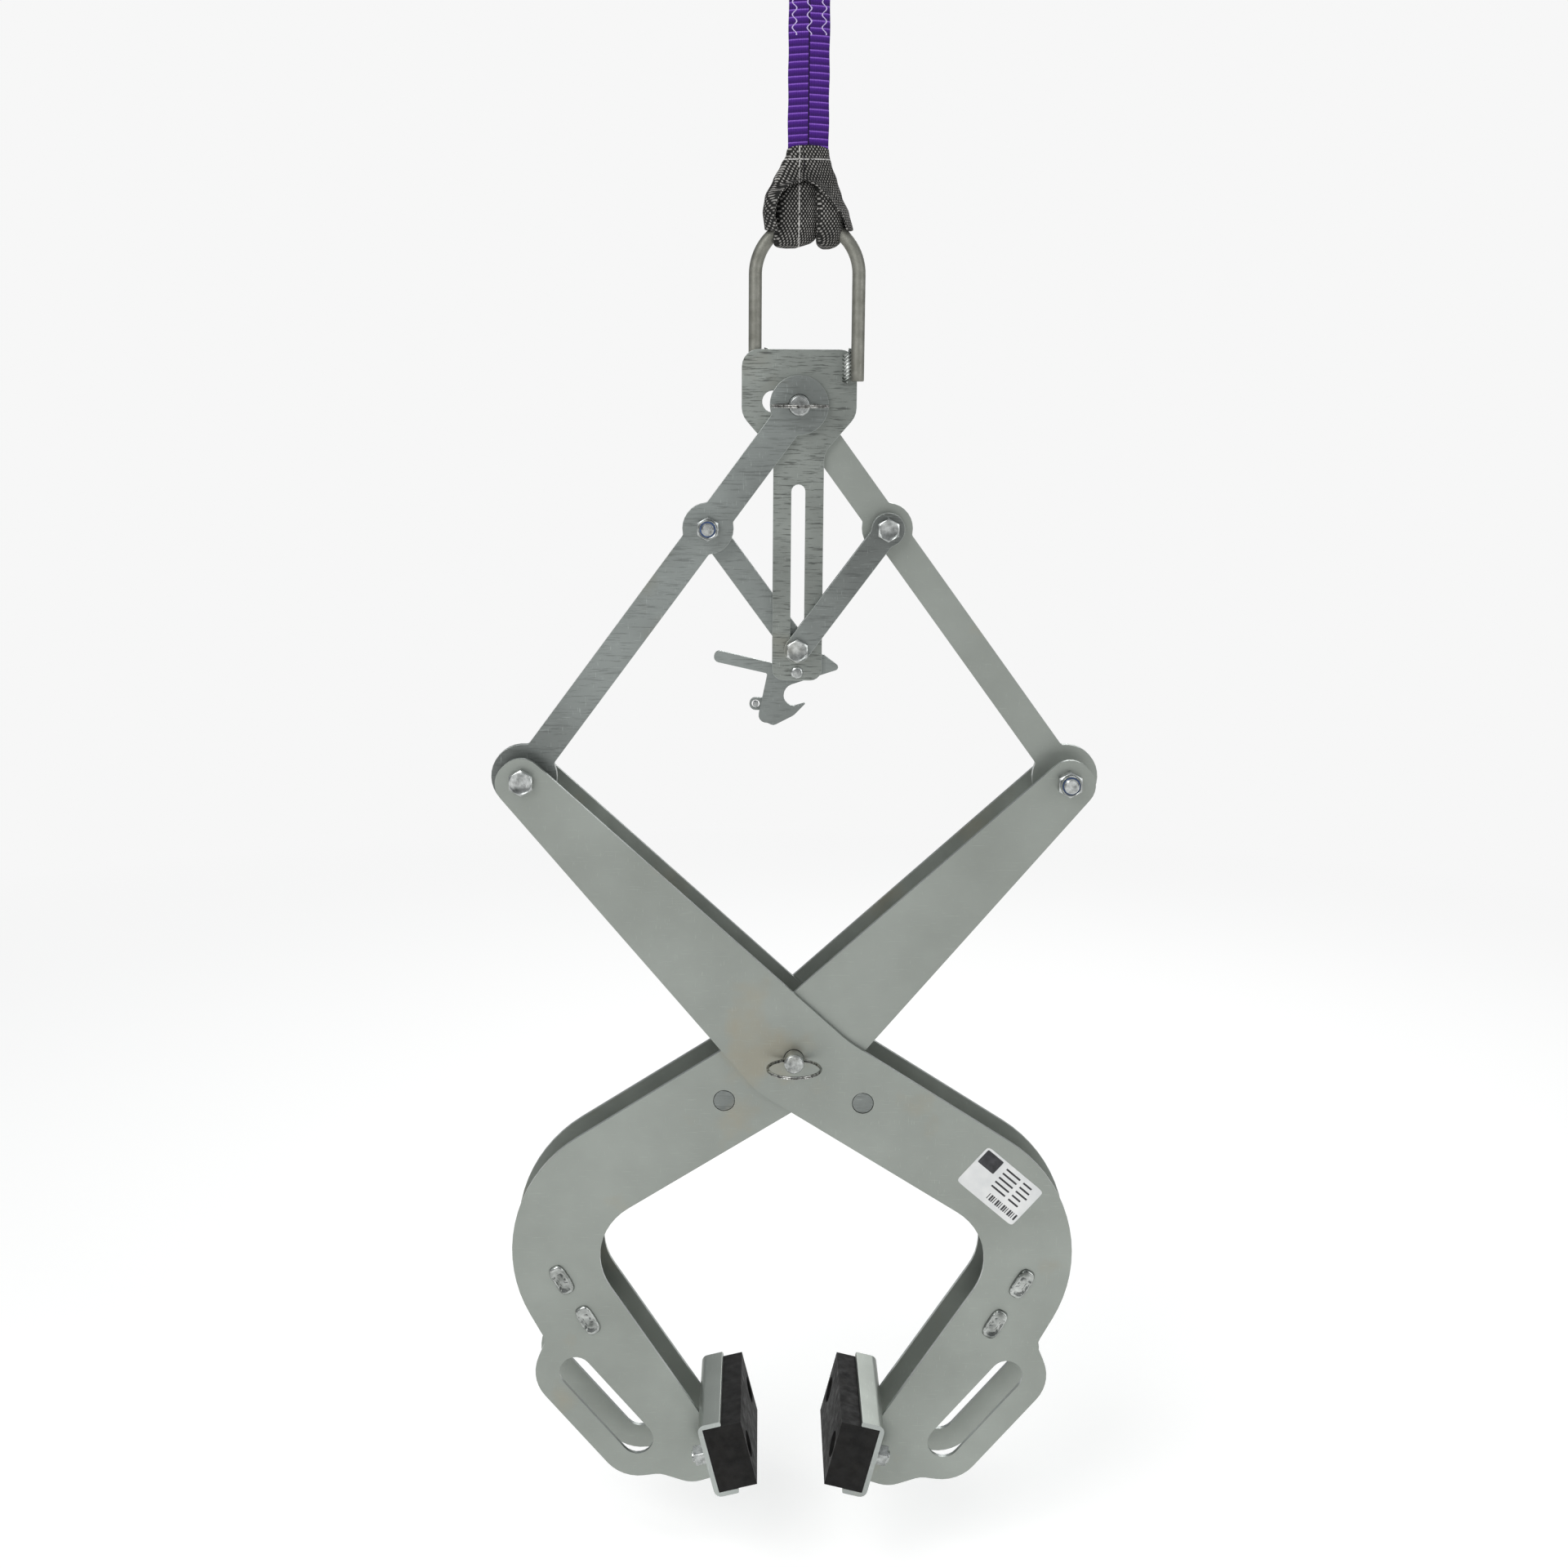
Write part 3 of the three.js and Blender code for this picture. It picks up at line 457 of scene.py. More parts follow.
sleeve_inner = wrap_round_rod(
    "sleeve_inner_strand", -0.0076, 0.0160, 0.0026, (-0.0170, 0.0104, 0.0290), -0.0018
)
sleeve_lobe = wrap_round_rod("sleeve_side_fold", 0.0158, 0.0098, 0.0036, (-0.0165, 0.0118, 0.0235), 0.0006)

# ---- Bow ----
# One round steel bar bent to a U and satin plated. Its left leg is welded behind the guide
# plate and its right leg in front of it, each with one rippled bead down its side.

BOW_BAR = 0.005
BOW_BEND = 0.039
BOW_LEG = 0.079
LEG_STEPS = 12
ARC_STEPS = 48
leg_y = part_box("bow")[1].y - BOW_BAR
bow_satin = Nodes("bow_satin")
bow_satin.wire(
    bow_satin.ramp(bow_satin.noise(130, 5), (0.3, (0.19, 0.19, 0.165)), (0.7, (0.28, 0.28, 0.25))),
    bow_satin.shader.inputs["Base Color"],
)
bow_satin.wire(
    bow_satin.ramp(bow_satin.noise(700, 4), (0.3, (0.5,) * 3), (0.7, (0.64,) * 3)),
    bow_satin.shader.inputs["Roughness"],
)
bow_satin.shader.inputs["Metallic"].default_value = 0.9
bow_satin.bump(bow_satin.noise(1600, 3), 0.25, 0.0002)
bow_satin = bow_satin.material
bow_path = []
for i in range(LEG_STEPS + 1):
    bow_path.append(Vector((-BOW_BEND, leg_y, -BOW_BEND - BOW_LEG * (1 - i / LEG_STEPS))))
for i in range(1, ARC_STEPS):
    turn = math.pi * i / ARC_STEPS
    x = -BOW_BEND * math.cos(turn)
    bow_path.append(Vector((x, leg_y * math.cos(turn), BOW_BEND * (math.sin(turn) - 1))))
for i in range(LEG_STEPS + 1):
    bow_path.append(Vector((BOW_BEND, -leg_y, -BOW_BEND - BOW_LEG * i / LEG_STEPS)))


def bar_along(path, radius, sides=28, chamfer=0.0006):
    """A round bar along a path, with a small chamfer at each end."""
    rings = []
    for i, point in enumerate(path):
        tangent = (path[min(i + 1, len(path) - 1)] - path[max(i - 1, 0)]).normalized()
        across = tangent.cross(Vector((0, 1, 0.001))).normalized()
        out = across.cross(tangent).normalized()
        spots = [(point, radius)]
        if i == 0:
            spots = [(point, radius - chamfer), (point + tangent * chamfer, radius)]
        if i == len(path) - 1:
            spots = [(point - tangent * chamfer, radius), (point, radius - chamfer)]
        for spot, r in spots:
            turns = [2 * math.pi * k / sides for k in range(sides)]
            rings.append([spot + across * (r * math.cos(t)) + out * (r * math.sin(t)) for t in turns])
    return loft(rings)


bow = add_piece("bow_bar", bar_along(bow_path, BOW_BAR), "frame", bow_satin, "bow")

weld_metal = Nodes("weld_metal")
weld_metal.wire(
    weld_metal.ramp(weld_metal.noise(70, 3), (0.35, (0.12, 0.13, 0.12)), (0.65, (0.55, 0.57, 0.55))),
    weld_metal.shader.inputs["Base Color"],
)
weld_metal.shader.inputs["Metallic"].default_value = 0.95
weld_metal.shader.inputs["Roughness"].default_value = 0.2
weld_metal.bump(weld_metal.noise(200, 3), 0.3, 0.0005)
weld_metal = weld_metal.material
BEAD_HALF = 0.0046
BEAD_DEPTH = 0.0038
BEAD_RIPPLES = 8
BEAD_SLANT = 0.0022
BEAD_STEPS = 96
BEAD_SIDES = 24
for node in ("bow_weld_left", "bow_weld_right"):
    low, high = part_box(node)
    middle = (low + high) / 2
    leg = BOW_BEND * (1 if middle.x > 0 else -1)
    toward = -1 if middle.x < leg else 1
    bead_x = leg + toward * (BOW_BAR + BEAD_HALF * 0.45)
    rings = []
    for i in range(BEAD_STEPS + 1):
        share = i / BEAD_STEPS
        z = low.z + (high.z - low.z) * share
        ripple = 0.8 + 0.2 * abs(math.sin(share * math.pi * BEAD_RIPPLES))
        full = min(1, 16 * share, 16 * (1 - share)) ** 0.5 * ripple
        ring = []
        for k in range(BEAD_SIDES):
            t = 2 * math.pi * k / BEAD_SIDES
            x = bead_x + BEAD_HALF * full * math.cos(t)
            ring.append((x, middle.y + BEAD_DEPTH * full * math.sin(t), z + BEAD_SLANT * math.cos(t)))
        rings.append(ring)
    bead = add_piece("bead_" + node, loft(rings), "frame", weld_metal, node)

# ---- Guide plate, links and arms ----
# All are cut from steel plate and zinc plated. The faces are dull grey green with yellowish
# stains and fine scratches. The sheared edges are lighter, for wear and as a painted highlight,
# and the cross web between the plates is a darker zinc as painted shade.


def zinc(name, dark, light, stain, scratch=0.35, rough=(0.34, 0.56), rolled=0.0, grain=9):
    """Passivated zinc: faint clouds, a few warm stains, scratches, and streaks from rolling."""
    n = Nodes(name)
    base = n.ramp(n.noise(grain, 4), (0.3, dark), (0.7, light))
    patches = n.ramp(n.noise(13, 4), (0.6, (0, 0, 0)), (0.72, (1, 1, 1)))
    base = n.mix(n.math("MULTIPLY", patches, 0.45), base, stain)
    lines = n.noise(60, 2, (1.2, 1, 30), 0.5)
    cross = n.noise(45, 2, (26, 1, 3), 0.5)
    marks = n.ramp(n.math("MAXIMUM", lines, cross), (0.66, (0, 0, 0)), (0.76, (1, 1, 1)))
    base = n.mix(n.math("MULTIPLY", marks, scratch), base, tuple(min(1, c * 1.6) for c in light))
    if rolled:
        streak = n.noise(34, 6, (1.6, 1, 22), 0.65)
        streaks = n.ramp(streak, (0.54, (0, 0, 0)), (0.61, (1, 1, 1)))
        base = n.mix(n.math("MULTIPLY", streaks, rolled), base, tuple(c * 0.28 for c in dark))
    n.wire(base, n.shader.inputs["Base Color"])
    roughness = n.add("ShaderNodeMapRange")
    roughness.inputs["To Min"].default_value = rough[0]
    roughness.inputs["To Max"].default_value = rough[1]
    n.wire(n.noise(48, 5), roughness.inputs["Value"])
    n.wire(roughness.outputs["Result"], n.shader.inputs["Roughness"])
    n.shader.inputs["Metallic"].default_value = 0.85
    n.bump(n.math("ADD", n.noise(900, 2), n.math("MULTIPLY", marks, 0.5)), 0.1, 0.0002)
    return n.material


plate_zinc = zinc("plate_zinc", (0.29, 0.31, 0.285), (0.355, 0.38, 0.352), (0.36, 0.315, 0.225), 0.2)
# A darker copy of the plate zinc: painted shade for the cross web that sits between the arm plates.
shaded_web_zinc = zinc("shaded_web_zinc", (0.11, 0.13, 0.12), (0.16, 0.185, 0.17), (0.15, 0.14, 0.11), 0.2)
link_zinc = zinc(
    "link_zinc", (0.12, 0.128, 0.122), (0.33, 0.358, 0.345), (0.24, 0.225, 0.17),
    scratch=0.4, rough=(0.3, 0.5), rolled=0.3, grain=5,
)
head_zinc = zinc(
    "head_zinc", (0.21, 0.226, 0.21), (0.35, 0.375, 0.35), (0.28, 0.26, 0.2),
    scratch=0.35, rough=(0.3, 0.5), rolled=0.7,
)
# Lighter zinc for the cut edges and bevels: edge wear, and a painted highlight along the edges.
edge_wear_and_highlight_zinc = zinc("edge_wear_and_highlight_zinc", (0.3, 0.32, 0.31), (0.45, 0.48, 0.46), (0.4, 0.38, 0.3), 0.3, (0.3, 0.45))
bright_zinc = zinc(
    "bright_zinc", (0.16, 0.17, 0.165), (0.62, 0.64, 0.63), (0.4, 0.39, 0.33),
    scratch=0.3, rough=(0.14, 0.34), grain=170,
)

bodies = frame["record"]["behaviour"]["bodies"]
body_of = {node: name for name, nodes in bodies.items() for node in nodes}
SHARP_EDGE = math.radians(42)
FLAT_WITHIN = math.radians(0.5)


def dress(node, materials, bevel=0.00035, segments=2, faces_along_y=True):
    """A finer copy of a frame piece: flat faces made whole, and its sharp edges rounded."""
    bm = bmesh.new()
    bm.from_mesh(frame["nodes"][node].data)
    bmesh.ops.remove_doubles(bm, verts=bm.verts, dist=1e-6)
    bmesh.ops.dissolve_limit(bm, angle_limit=FLAT_WITHIN, verts=bm.verts, edges=bm.edges)
    bm.normal_update()
    # With two materials, the rim faces and bevels take the last one, the lighter edge zinc with its painted
    # highlight.
    if len(materials) > 1:
        for face in bm.faces:
            along_y = abs(face.normal.y) > 0.7
            face.material_index = 0 if along_y == faces_along_y else 1
    sharp = [e for e in bm.edges if len(e.link_faces) == 2 and e.calc_face_angle(0) > SHARP_EDGE]
    bmesh.ops.bevel(
        bm, geom=sharp, offset=bevel, segments=segments, profile=0.5,
        affect="EDGES", clamp_overlap=True, material=len(materials) - 1,
    )
    bm.normal_update()
    for face in bm.faces:
        face.smooth = True
    for edge in bm.edges:
        edge.smooth = len(edge.link_faces) == 2 and edge.calc_face_angle(0) < SHARP_EDGE
    mesh = bpy.data.meshes.new(node)
    bm.to_mesh(mesh)
    bm.free()
    piece = add_piece("fine_" + node, mesh, body_of[node], materials, node)
    flat = piece.modifiers.new("flat_faces", "WEIGHTED_NORMAL")
    flat.keep_sharp = True
    return piece


dress("guide_plate", [head_zinc, edge_wear_and_highlight_zinc])
for side in ("left", "right"):
    dress(f"{side}_link", [link_zinc if side == "left" else plate_zinc, edge_wear_and_highlight_zinc])
    dress(f"{side}_short_link", [link_zinc, edge_wear_and_highlight_zinc])
    for part in ("outer_plate", "inner_plate"):
        dress(f"{side}_arm_{part}", [plate_zinc, edge_wear_and_highlight_zinc])
    for part in ("arm_outer_button", "arm_inner_button"):
        dress(f"{side}_{part}", [link_zinc], 0.0005, 3)
    # The cross web between the plates takes the darker zinc, which paints the shade that falls there.
    dress(f"{side}_arm_web", [shaded_web_zinc])
    dress(f"{side}_jaw_bracket", [plate_zinc, edge_wear_and_highlight_zinc], 0.0006, 3, faces_along_y=False)
    for part in ("boss_spacer", "eye_spacer_short", "eye_spacer_long"):
        dress(f"{side}_{part}", [bright_zinc])
for part in ("latch_plate", "latch_lug"):
    dress(part, [link_zinc, edge_wear_and_highlight_zinc])
dress("hub_washer", [link_zinc, edge_wear_and_highlight_zinc])
for part in ("top_pin", "hub_pin", "latch_rivet", "latch_lug_pin"):
    dress(part, [bright_zinc], 0.0003, 2)

# ---- Jaw pads ----
# Blocks of hard black rubber that grip the load. Each is bolted into its arm's bracket through
# two sunk holes.

rubber = Nodes("rubber")
rubber.wire(
    rubber.ramp(rubber.noise(70, 5), (0.3, (0.003, 0.003, 0.003)), (0.75, (0.010, 0.009, 0.008))),
    rubber.shader.inputs["Base Color"],
)
rubber.wire(
    rubber.ramp(rubber.noise(120, 4), (0.3, (0.55,) * 3), (0.7, (0.85,) * 3)),
    rubber.shader.inputs["Roughness"],
)
rubber.shader.inputs["Specular IOR Level"].default_value = 0.28
rubber.bump(rubber.noise(1500, 3), 0.35, 0.0003)
rubber = rubber.material
for side in ("left", "right"):
    pad = dress(f"{side}_jaw_pad", [rubber], 0.0012, 3)

# ---- Bolts and nuts ----
# Hexagon bolts and nuts with chamfered corners. The nuts on the links and arm eyes have a
# round collar with a nylon ring in it.

nylon = Nodes("nylon")
nylon.wire(
    nylon.ramp(nylon.noise(400, 2), (0.3, (0.02, 0.05, 0.14)), (0.7, (0.05, 0.1, 0.24))),
    nylon.shader.inputs["Base Color"],
)
nylon.shader.inputs["Roughness"].default_value = 0.45
nylon = nylon.material
HEX_STEPS = 96
TURNED_STEPS = 48
LAND_SHARE = 0.475  # radius of the round land on a hexagon's end, in flats
DISH_SHARE = 0.82  # radius of the dish, in land radii
DISH_DEPTH = 0.0006
HEX_SHARE = 0.68  # height of a lock nut's hexagon, in heights of the nut
SHARP_TURN = math.radians(24)
THREAD = 0.014


def hexagon_edge(turn, flats):
    """Distance from the middle to a hexagon's edge in one direction."""
    return flats / 2 / math.cos((turn + math.pi / 6) % (math.pi / 3) - math.pi / 6)


def hex_rings(flats, height):
    """A hexagon with corners turned off at 30 degrees, which leaves a round land on top."""
    land = flats * LAND_SHARE
    rings = [[], [], [], []]
    for k in range(HEX_STEPS):
        t = 2 * math.pi * k / HEX_STEPS
        edge = hexagon_edge(t, flats)
        drop = max(0.0, edge - land) * math.tan(math.radians(30))
        rows = ((edge, 0.0), (edge, height - drop), (land, height), (land * DISH_SHARE, height - DISH_DEPTH))
        for ring, (r, z) in zip(rings, rows):
            ring.append((r * math.cos(t), r * math.sin(t), z))
    return rings


def round_rings(profile):
    """Rings for a turned piece, from its rows of (radius, height)."""
    turns = [2 * math.pi * k / TURNED_STEPS for k in range(TURNED_STEPS)]
    return [[(r * math.cos(t), r * math.sin(t), z) for t in turns] for r, z in profile]


def thread_profile(radius, tip, root, pitch=0.00125, depth=0.0004):
    """Rows of a threaded end with a chamfered tip, as crests and roots of equal pitch."""
    rows = [(radius - 0.0012, tip), (radius - 0.0001, tip + 0.0009)]
    z = tip + 0.0009
    while z + pitch < root:
        rows += [(radius - depth, z + pitch / 2), (radius, z + pitch)]
        z += pitch
    return rows + [(radius, root)]


def add_turned(name, node, groups, material, front, *replaced):
    """A piece drawn along Z, laid along Y with its top at the node's front or back face."""
    low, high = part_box(node)
    x, z = (low.x + high.x) / 2, (low.z + high.z) / 2
    y = low.y if front else high.y
    mesh = skin(groups, SHARP_TURN)
    turn = Matrix.Rotation(math.pi / 2 if front else -math.pi / 2, 4, "X")
    mesh.transform(Matrix.Translation((x, y, z)) @ turn)
    piece = add_piece(name, mesh, body_of[node], material, *replaced)


def length_of(node):
    low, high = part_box(node)
    return high.y - low.y


def add_head_bolt(node, flats, head, shank, front):
    """A hexagon bolt: a chamfered, dished head, a smooth shank and a threaded end."""
    length = length_of(node)
    head_part = [[(x, y, z - head) for x, y, z in row] for row in hex_rings(flats, head)]
    shank_part = round_rings(thread_profile(shank, -length, -length + THREAD) + [(shank, -head)])
    add_turned("fine_" + node, node, [head_part, shank_part], bright_zinc, front, node)


def add_lock_nut(node, flats, shank, front):
    """A lock nut: a hexagon, then a round collar with a nylon ring in it round the bolt."""
    height = length_of(node)
    hex_part = [[(x, y, z - height) for x, y, z in row] for row in hex_rings(flats, height * HEX_SHARE)]
    collar = round_rings([
        (flats * 0.455, -height * 0.36), (flats * 0.455, -height * 0.12), (flats * 0.43, 0.0),
        (flats * 0.40, -height * 0.02), (flats * 0.39, -height * 0.14),
    ])
    add_turned("fine_" + node, node, [hex_part, collar], bright_zinc, front, node)
    ring = round_rings([
        (flats * 0.385, -height * 0.13), (flats * 0.38, -height * 0.07), (flats * 0.355, -height * 0.055),
    ])
    add_turned("nylon_" + node, node, [ring], nylon, front)
    tip = round_rings([
        (shank, -height * 0.055), (shank, -0.0006), (shank - 0.0006, 0.0),
        (shank * 0.5, 0.0), (shank * 0.42, -0.0004),
    ])
    add_turned("tip_" + node, node, [tip], bright_zinc, front)


# Width over flats, head height and shank radius.
SMALL = (0.016, 0.0064, 0.005)
LARGE = (0.018, 0.0075, 0.006)
for node, size, front in (
    ("left_boss_bolt", SMALL, False), ("right_boss_bolt", SMALL, True), ("slider_bolt", SMALL, True),
    ("left_eye_bolt", LARGE, True), ("right_eye_bolt", LARGE, False),
):
    add_head_bolt(node, *size, front)
for node, (flats, _, shank), front in (
    ("left_boss_nut", SMALL, True), ("right_boss_nut", SMALL, False), ("slider_nut", SMALL, False),
    ("left_eye_nut", LARGE, False), ("right_eye_nut", LARGE, True),
):
    add_lock_nut(node, flats, shank, front)
for side in ("left", "right"):
    for end in ("front", "back"):
        dress(f"{side}_pad_bolt_{end}", [bright_zinc], 0.0006, 3)
        dress(f"{side}_pad_nut_{end}", [bright_zinc], 0.0006, 3)

# ---- Split rings ----
# Key rings of bright spring wire, wound twice. One goes through the cross hole of each of the
# two pins and keeps the pin in.

wire_metal = Nodes("wire_metal")
wire_metal.wire(
    wire_metal.ramp(wire_metal.noise(500, 3), (0.35, (0.09, 0.088, 0.08)), (0.65, (0.55, 0.55, 0.53))),
    wire_metal.shader.inputs["Base Color"],
)
wire_metal.shader.inputs["Metallic"].default_value = 1.0
wire_metal.shader.inputs["Roughness"].default_value = 0.16
wire_metal = wire_metal.material
COIL_STEPS = 192
STEP_UP = 10  # steps over which the wire climbs from the lower turn to the upper
WIRE_STEPS = 14
for node in ("top_pin_ring", "hub_pin_ring"):
    low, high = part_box(node)
    middle = (low + high) / 2
    wire = (high.z - low.z) / 4
    ring_radius = (high.x - low.x) / 2 - 2 * wire
    coil = []
    for i in range(COIL_STEPS + 1):
        turn = 4 * math.pi * i / COIL_STEPS
        lift = wire * max(-1.0, min(1.0, (i - COIL_STEPS / 2) / STEP_UP))
        coil.append(middle + Vector((ring_radius * math.cos(turn), ring_radius * math.sin(turn), lift)))
    rings = []
    for i, point in enumerate(coil):
        tangent = (coil[min(i + 1, COIL_STEPS)] - coil[max(i - 1, 0)]).normalized()
        across = tangent.cross(Vector((0, 0, 1))).normalized()
        up = across.cross(tangent).normalized()
        turns = [2 * math.pi * k / WIRE_STEPS for k in range(WIRE_STEPS)]
        rings.append([point + across * (1.5 * wire * math.cos(t)) + up * (wire * math.sin(t)) for t in turns])
    split = add_piece("split_" + node, loft(rings), body_of[node], wire_metal, node)

# ---- Plug welds ----
# The cross web's tabs come through the arm plates and are welded over: a bright oblong mound
# on the outside of each plate, with a rolled rim and rippled metal inside it.

PLUG_LENGTH = 0.0255
PLUG_WIDTH = 0.0132
TAB_PITCH = 0.0417
WEB_SLOPE = (0.508, 0.861)  # how the web falls away from the grab's middle, across and down
PLUG_SIDES = 64
PLUG_SQUARE = 0.62  # 1 makes an ellipse, 0 a rectangle
PLUG_PROFILE = (  # share of the outline and height above the plate
    (1.06, 0.0001), (1.03, 0.0014), (0.94, 0.0026), (0.8, 0.0024), (0.62, 0.0007),
    (0.44, 0.0010), (0.28, 0.0019), (0.1, 0.0015),
)
for side, sign in (("left", 1), ("right", -1)):
    low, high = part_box(f"{side}_arm_web")
    web_middle = (low + high) / 2
    slope = Vector((-WEB_SLOPE[0] * sign, 0, -WEB_SLOPE[1])).normalized()
    across = Vector((WEB_SLOPE[1], 0, -WEB_SLOPE[0] * sign)).normalized()
    for layer in ("outer", "inner"):
        plate_low, plate_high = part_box(f"{side}_arm_{layer}_plate")
        front = (plate_low.y + plate_high.y) < 0
        face_y = plate_low.y if front else plate_high.y
        out = -1 if front else 1
        for way in (-1, 1):
            middle = web_middle + slope * (way * TAB_PITCH / 2)
            rings = []
            for share, height in PLUG_PROFILE:
                ring = []
                for k in range(PLUG_SIDES):
                    t = 2 * math.pi * k / PLUG_SIDES
                    c, s = math.cos(t), math.sin(t)
                    a = PLUG_LENGTH / 2 * share * math.copysign(abs(c) ** PLUG_SQUARE, c)
                    b = PLUG_WIDTH / 2 * share * math.copysign(abs(s) ** PLUG_SQUARE, s)
                    ripple = 0.00035 * math.sin(a * 1500 + way) * math.cos(b * 1100 + k * 0.2)
                    spot = middle + slope * a + across * b
                    ring.append((spot.x, face_y + out * (height + ripple * (share < 0.95)), spot.z))
                rings.append(ring)
            end = "upper" if way < 0 else "lower"
            plug = add_piece(f"plug_{side}_{layer}_{end}", loft(rings), f"{side}_arm", weld_metal)

# ---- Rating label ----
# A foil label stuck on the left arm's front plate. Its print is a dark patch, bars and a row of
# stripes in place of words.

label_paper = Nodes("label_paper")
label_paper.wire(
    label_paper.ramp(label_paper.noise(60, 3), (0.3, (0.62, 0.63, 0.63)), (0.7, (0.74, 0.74, 0.73))),
    label_paper.shader.inputs["Base Color"],
)
label_paper.shader.inputs["Roughness"].default_value = 0.35
label_paper = label_paper.material
label_ink = Nodes("label_ink")
label_ink.wire(
    label_ink.ramp(label_ink.noise(200, 2), (0.3, (0.012, 0.012, 0.014)), (0.7, (0.04, 0.04, 0.045))),
    label_ink.shader.inputs["Base Color"],
)
label_ink.shader.inputs["Roughness"].default_value = 0.4
label_ink = label_ink.material
LABEL_TURN = math.radians(40.7)
LABEL_FROM_PIN = (0.1695, -0.6260)  # to the right and up, from the top pin
INK_LIFT = 0.00016
BLOCK_SIDES = 32
BLOCK_SQUARE = 0.12
BAR_TOP = 0.0138
BAR_PITCH = 0.0046
BAR_HEIGHT = 0.0016
arm_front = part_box("left_arm_outer_plate")[0].y
pin_low, pin_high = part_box("top_pin")
label_middle = Vector((
    (pin_low.x + pin_high.x) / 2 + LABEL_FROM_PIN[0],
    arm_front,
    (pin_low.z + pin_high.z) / 2 + LABEL_FROM_PIN[1],
))
label_along = Vector((math.cos(LABEL_TURN), 0, -math.sin(LABEL_TURN)))
label_up = Vector((math.sin(LABEL_TURN), 0, math.cos(LABEL_TURN)))


def label_block(name, left, bottom, width, height, lift, material, corner=0.0003):
    """A thin raised rectangle on the label, from its lower left corner, in metres."""
    rings = []
    for inset, out in ((0.0, 0.0), (0.0, lift), (corner * 0.4, lift + 0.00002)):
        ring = []
        for k in range(BLOCK_SIDES):
            t = 2 * math.pi * (k + 0.5) / BLOCK_SIDES
            c, s = math.cos(t), math.sin(t)
            u = left + width / 2 + (width / 2 - inset) * math.copysign(abs(c) ** BLOCK_SQUARE, c)
            v = bottom + height / 2 + (height / 2 - inset) * math.copysign(abs(s) ** BLOCK_SQUARE, s)
            spot = label_middle + label_along * u + label_up * v
            ring.append((spot.x, spot.y - 0.00004 - out, spot.z))
        rings.append(ring)
    piece = add_piece(name, loft(rings), "left_arm", material)


label_block("label_sheet", -0.0305, -0.0195, 0.061, 0.039, 0.0001, label_paper)
label_block("label_patch", -0.0285, 0.0040, 0.017, 0.0135, INK_LIFT, label_ink)
for row in range(5):
    bottom = BAR_TOP - row * BAR_PITCH
    wide = 0.009 + 0.0015 * (row % 3)
    label_block(f"label_bar_{row}", -0.0060, bottom, 0.015, BAR_HEIGHT, INK_LIFT, label_ink)
    label_block(f"label_value_{row}", 0.0125, bottom, wide, BAR_HEIGHT, INK_LIFT, label_ink)
for i in range(14):
    wide = 0.0007 + 0.0005 * ((i * 5) % 3)
    label_block(f"label_stripe_{i}", -0.0020 + i * 0.0022, -0.0150, wide, 0.0055, INK_LIFT, label_ink)

# ---- Floor, light and world ----
# A pale floor that fades into the background away from the grab, and three lamps. The room that
# lights the grab is dimmer than the background that is seen.

floor_mesh = bpy.data.meshes.new("floor")
FLOOR = 30.0
FLOOR_AT = -1.12
FADE_REACH = 5.0
FADE_FROM = 0.22
FADE_TO = 0.6
BACKDROP = (0.93,) * 3
corners = [(-FLOOR, -FLOOR), (FLOOR, -FLOOR), (FLOOR, FLOOR), (-FLOOR, FLOOR)]
floor_mesh.from_pydata([(x, y, FLOOR_AT) for x, y in corners], [], [(0, 1, 2, 3)])
floor = bpy.data.objects.new("floor", floor_mesh)
scene.collection.objects.link(floor)
pale = Nodes("pale_floor")
away = pale.add("ShaderNodeVectorMath", operation="LENGTH")
pale.wire(pale.place, away.inputs[0])
reach = pale.math("DIVIDE", away.outputs["Value"], FADE_REACH)
pale.wire(
    pale.ramp(reach, (FADE_FROM, (0.72, 0.72, 0.71)), (FADE_TO, (0.0, 0.0, 0.0))),
    pale.shader.inputs["Base Color"],
)
pale.wire(
    pale.ramp(reach, (FADE_FROM, (0.4,) * 3), (FADE_TO, BACKDROP)), pale.shader.inputs["Emission Color"]
)
pale.shader.inputs["Emission Strength"].default_value = 1.0
pale.shader.inputs["Specular IOR Level"].default_value = 0.0
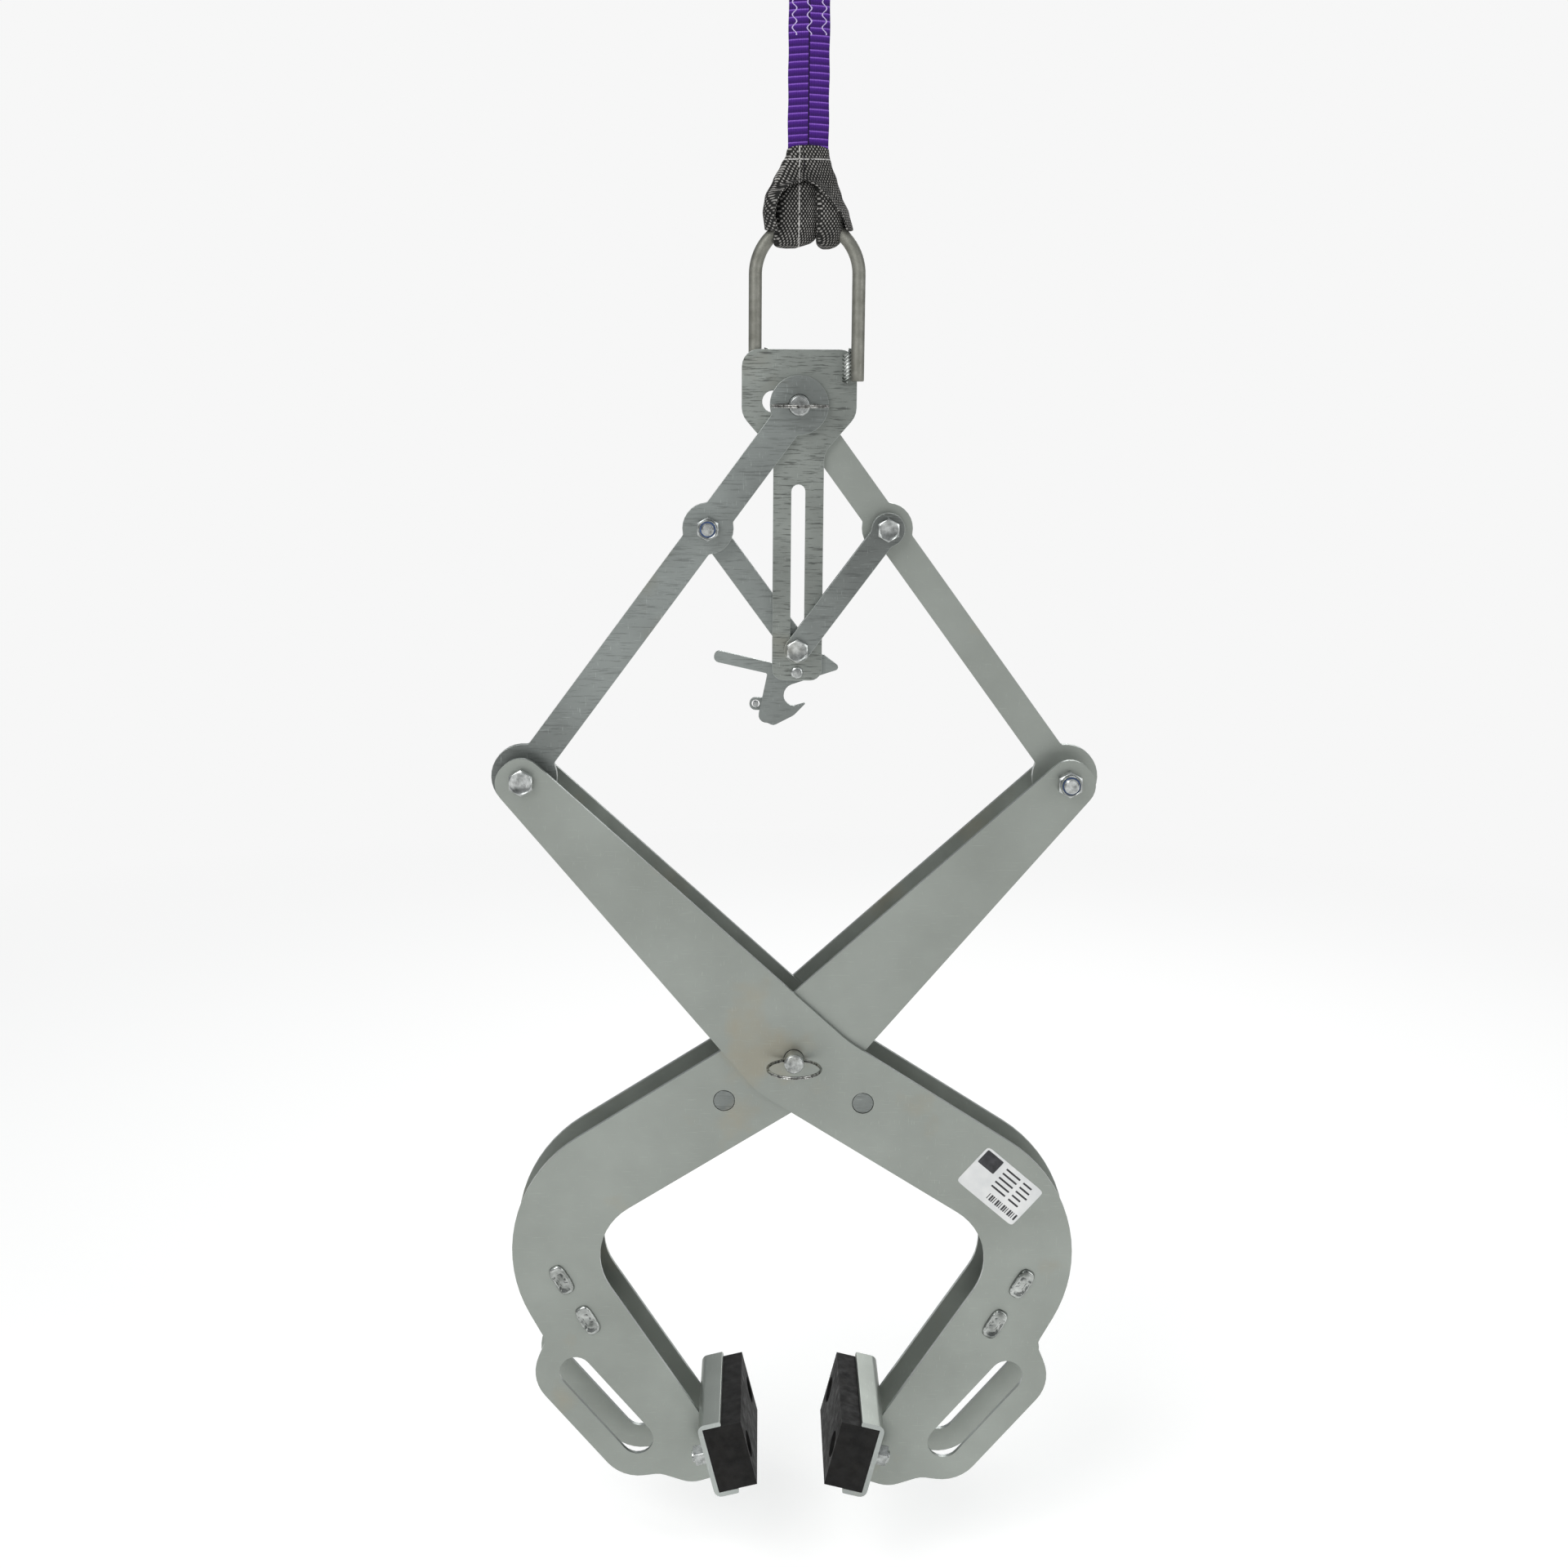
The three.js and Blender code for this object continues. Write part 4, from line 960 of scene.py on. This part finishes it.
pale.shader.inputs["Roughness"].default_value = 0.9
floor_mesh.materials.append(pale.material)

world = bpy.data.worlds.new("studio")
scene.world = world
world.use_nodes = True
sky = world.node_tree
sky.nodes.clear()
out_node = sky.nodes.new("ShaderNodeOutputWorld")
seen = sky.nodes.new("ShaderNodeBackground")
seen.inputs["Strength"].default_value = 1.0
seen.inputs["Color"].default_value = (*BACKDROP, 1)
room = sky.nodes.new("ShaderNodeBackground")
room.inputs["Strength"].default_value = 0.42
height = sky.nodes.new("ShaderNodeSeparateXYZ")
sky.links.new(sky.nodes.new("ShaderNodeTexCoord").outputs["Generated"], height.inputs[0])
ceiling = sky.nodes.new("ShaderNodeValToRGB")
ceiling.color_ramp.elements[0].position = 0.02
ceiling.color_ramp.elements[0].color = (0.42, 0.44, 0.45, 1)
ceiling.color_ramp.elements[1].position = 0.55
ceiling.color_ramp.elements[1].color = (1.05, 1.08, 1.1, 1)
sky.links.new(height.outputs["Z"], ceiling.inputs["Fac"])
sky.links.new(ceiling.outputs["Color"], room.inputs["Color"])
which = sky.nodes.new("ShaderNodeMixShader")
ray = sky.nodes.new("ShaderNodeLightPath")
sky.links.new(ray.outputs["Is Camera Ray"], which.inputs[0])
sky.links.new(room.outputs[0], which.inputs[1])
sky.links.new(seen.outputs[0], which.inputs[2])
sky.links.new(which.outputs[0], out_node.inputs["Surface"])
scene.view_settings.view_transform = "Standard"


def softbox(name, location, target, size, power):
    light = bpy.data.lights.new(name, "AREA")
    light.shape = "RECTANGLE"
    light.size, light.size_y = size
    light.energy = power
    lamp = bpy.data.objects.new(name, light)
    scene.collection.objects.link(lamp)
    lamp.location = location
    lamp.rotation_euler = (Vector(target) - Vector(location)).to_track_quat("-Z", "Y").to_euler()


softbox("key", (-1.3, -2.0, 1.3), (0, 0, -0.45), (1.5, 1.9), 46)
softbox("fill", (2.0, -1.5, 0.1), (0, 0, -0.5), (1.0, 1.8), 14)
softbox("back", (0.6, 2.0, 0.9), (0, 0, -0.5), (1.6, 1.2), 26)
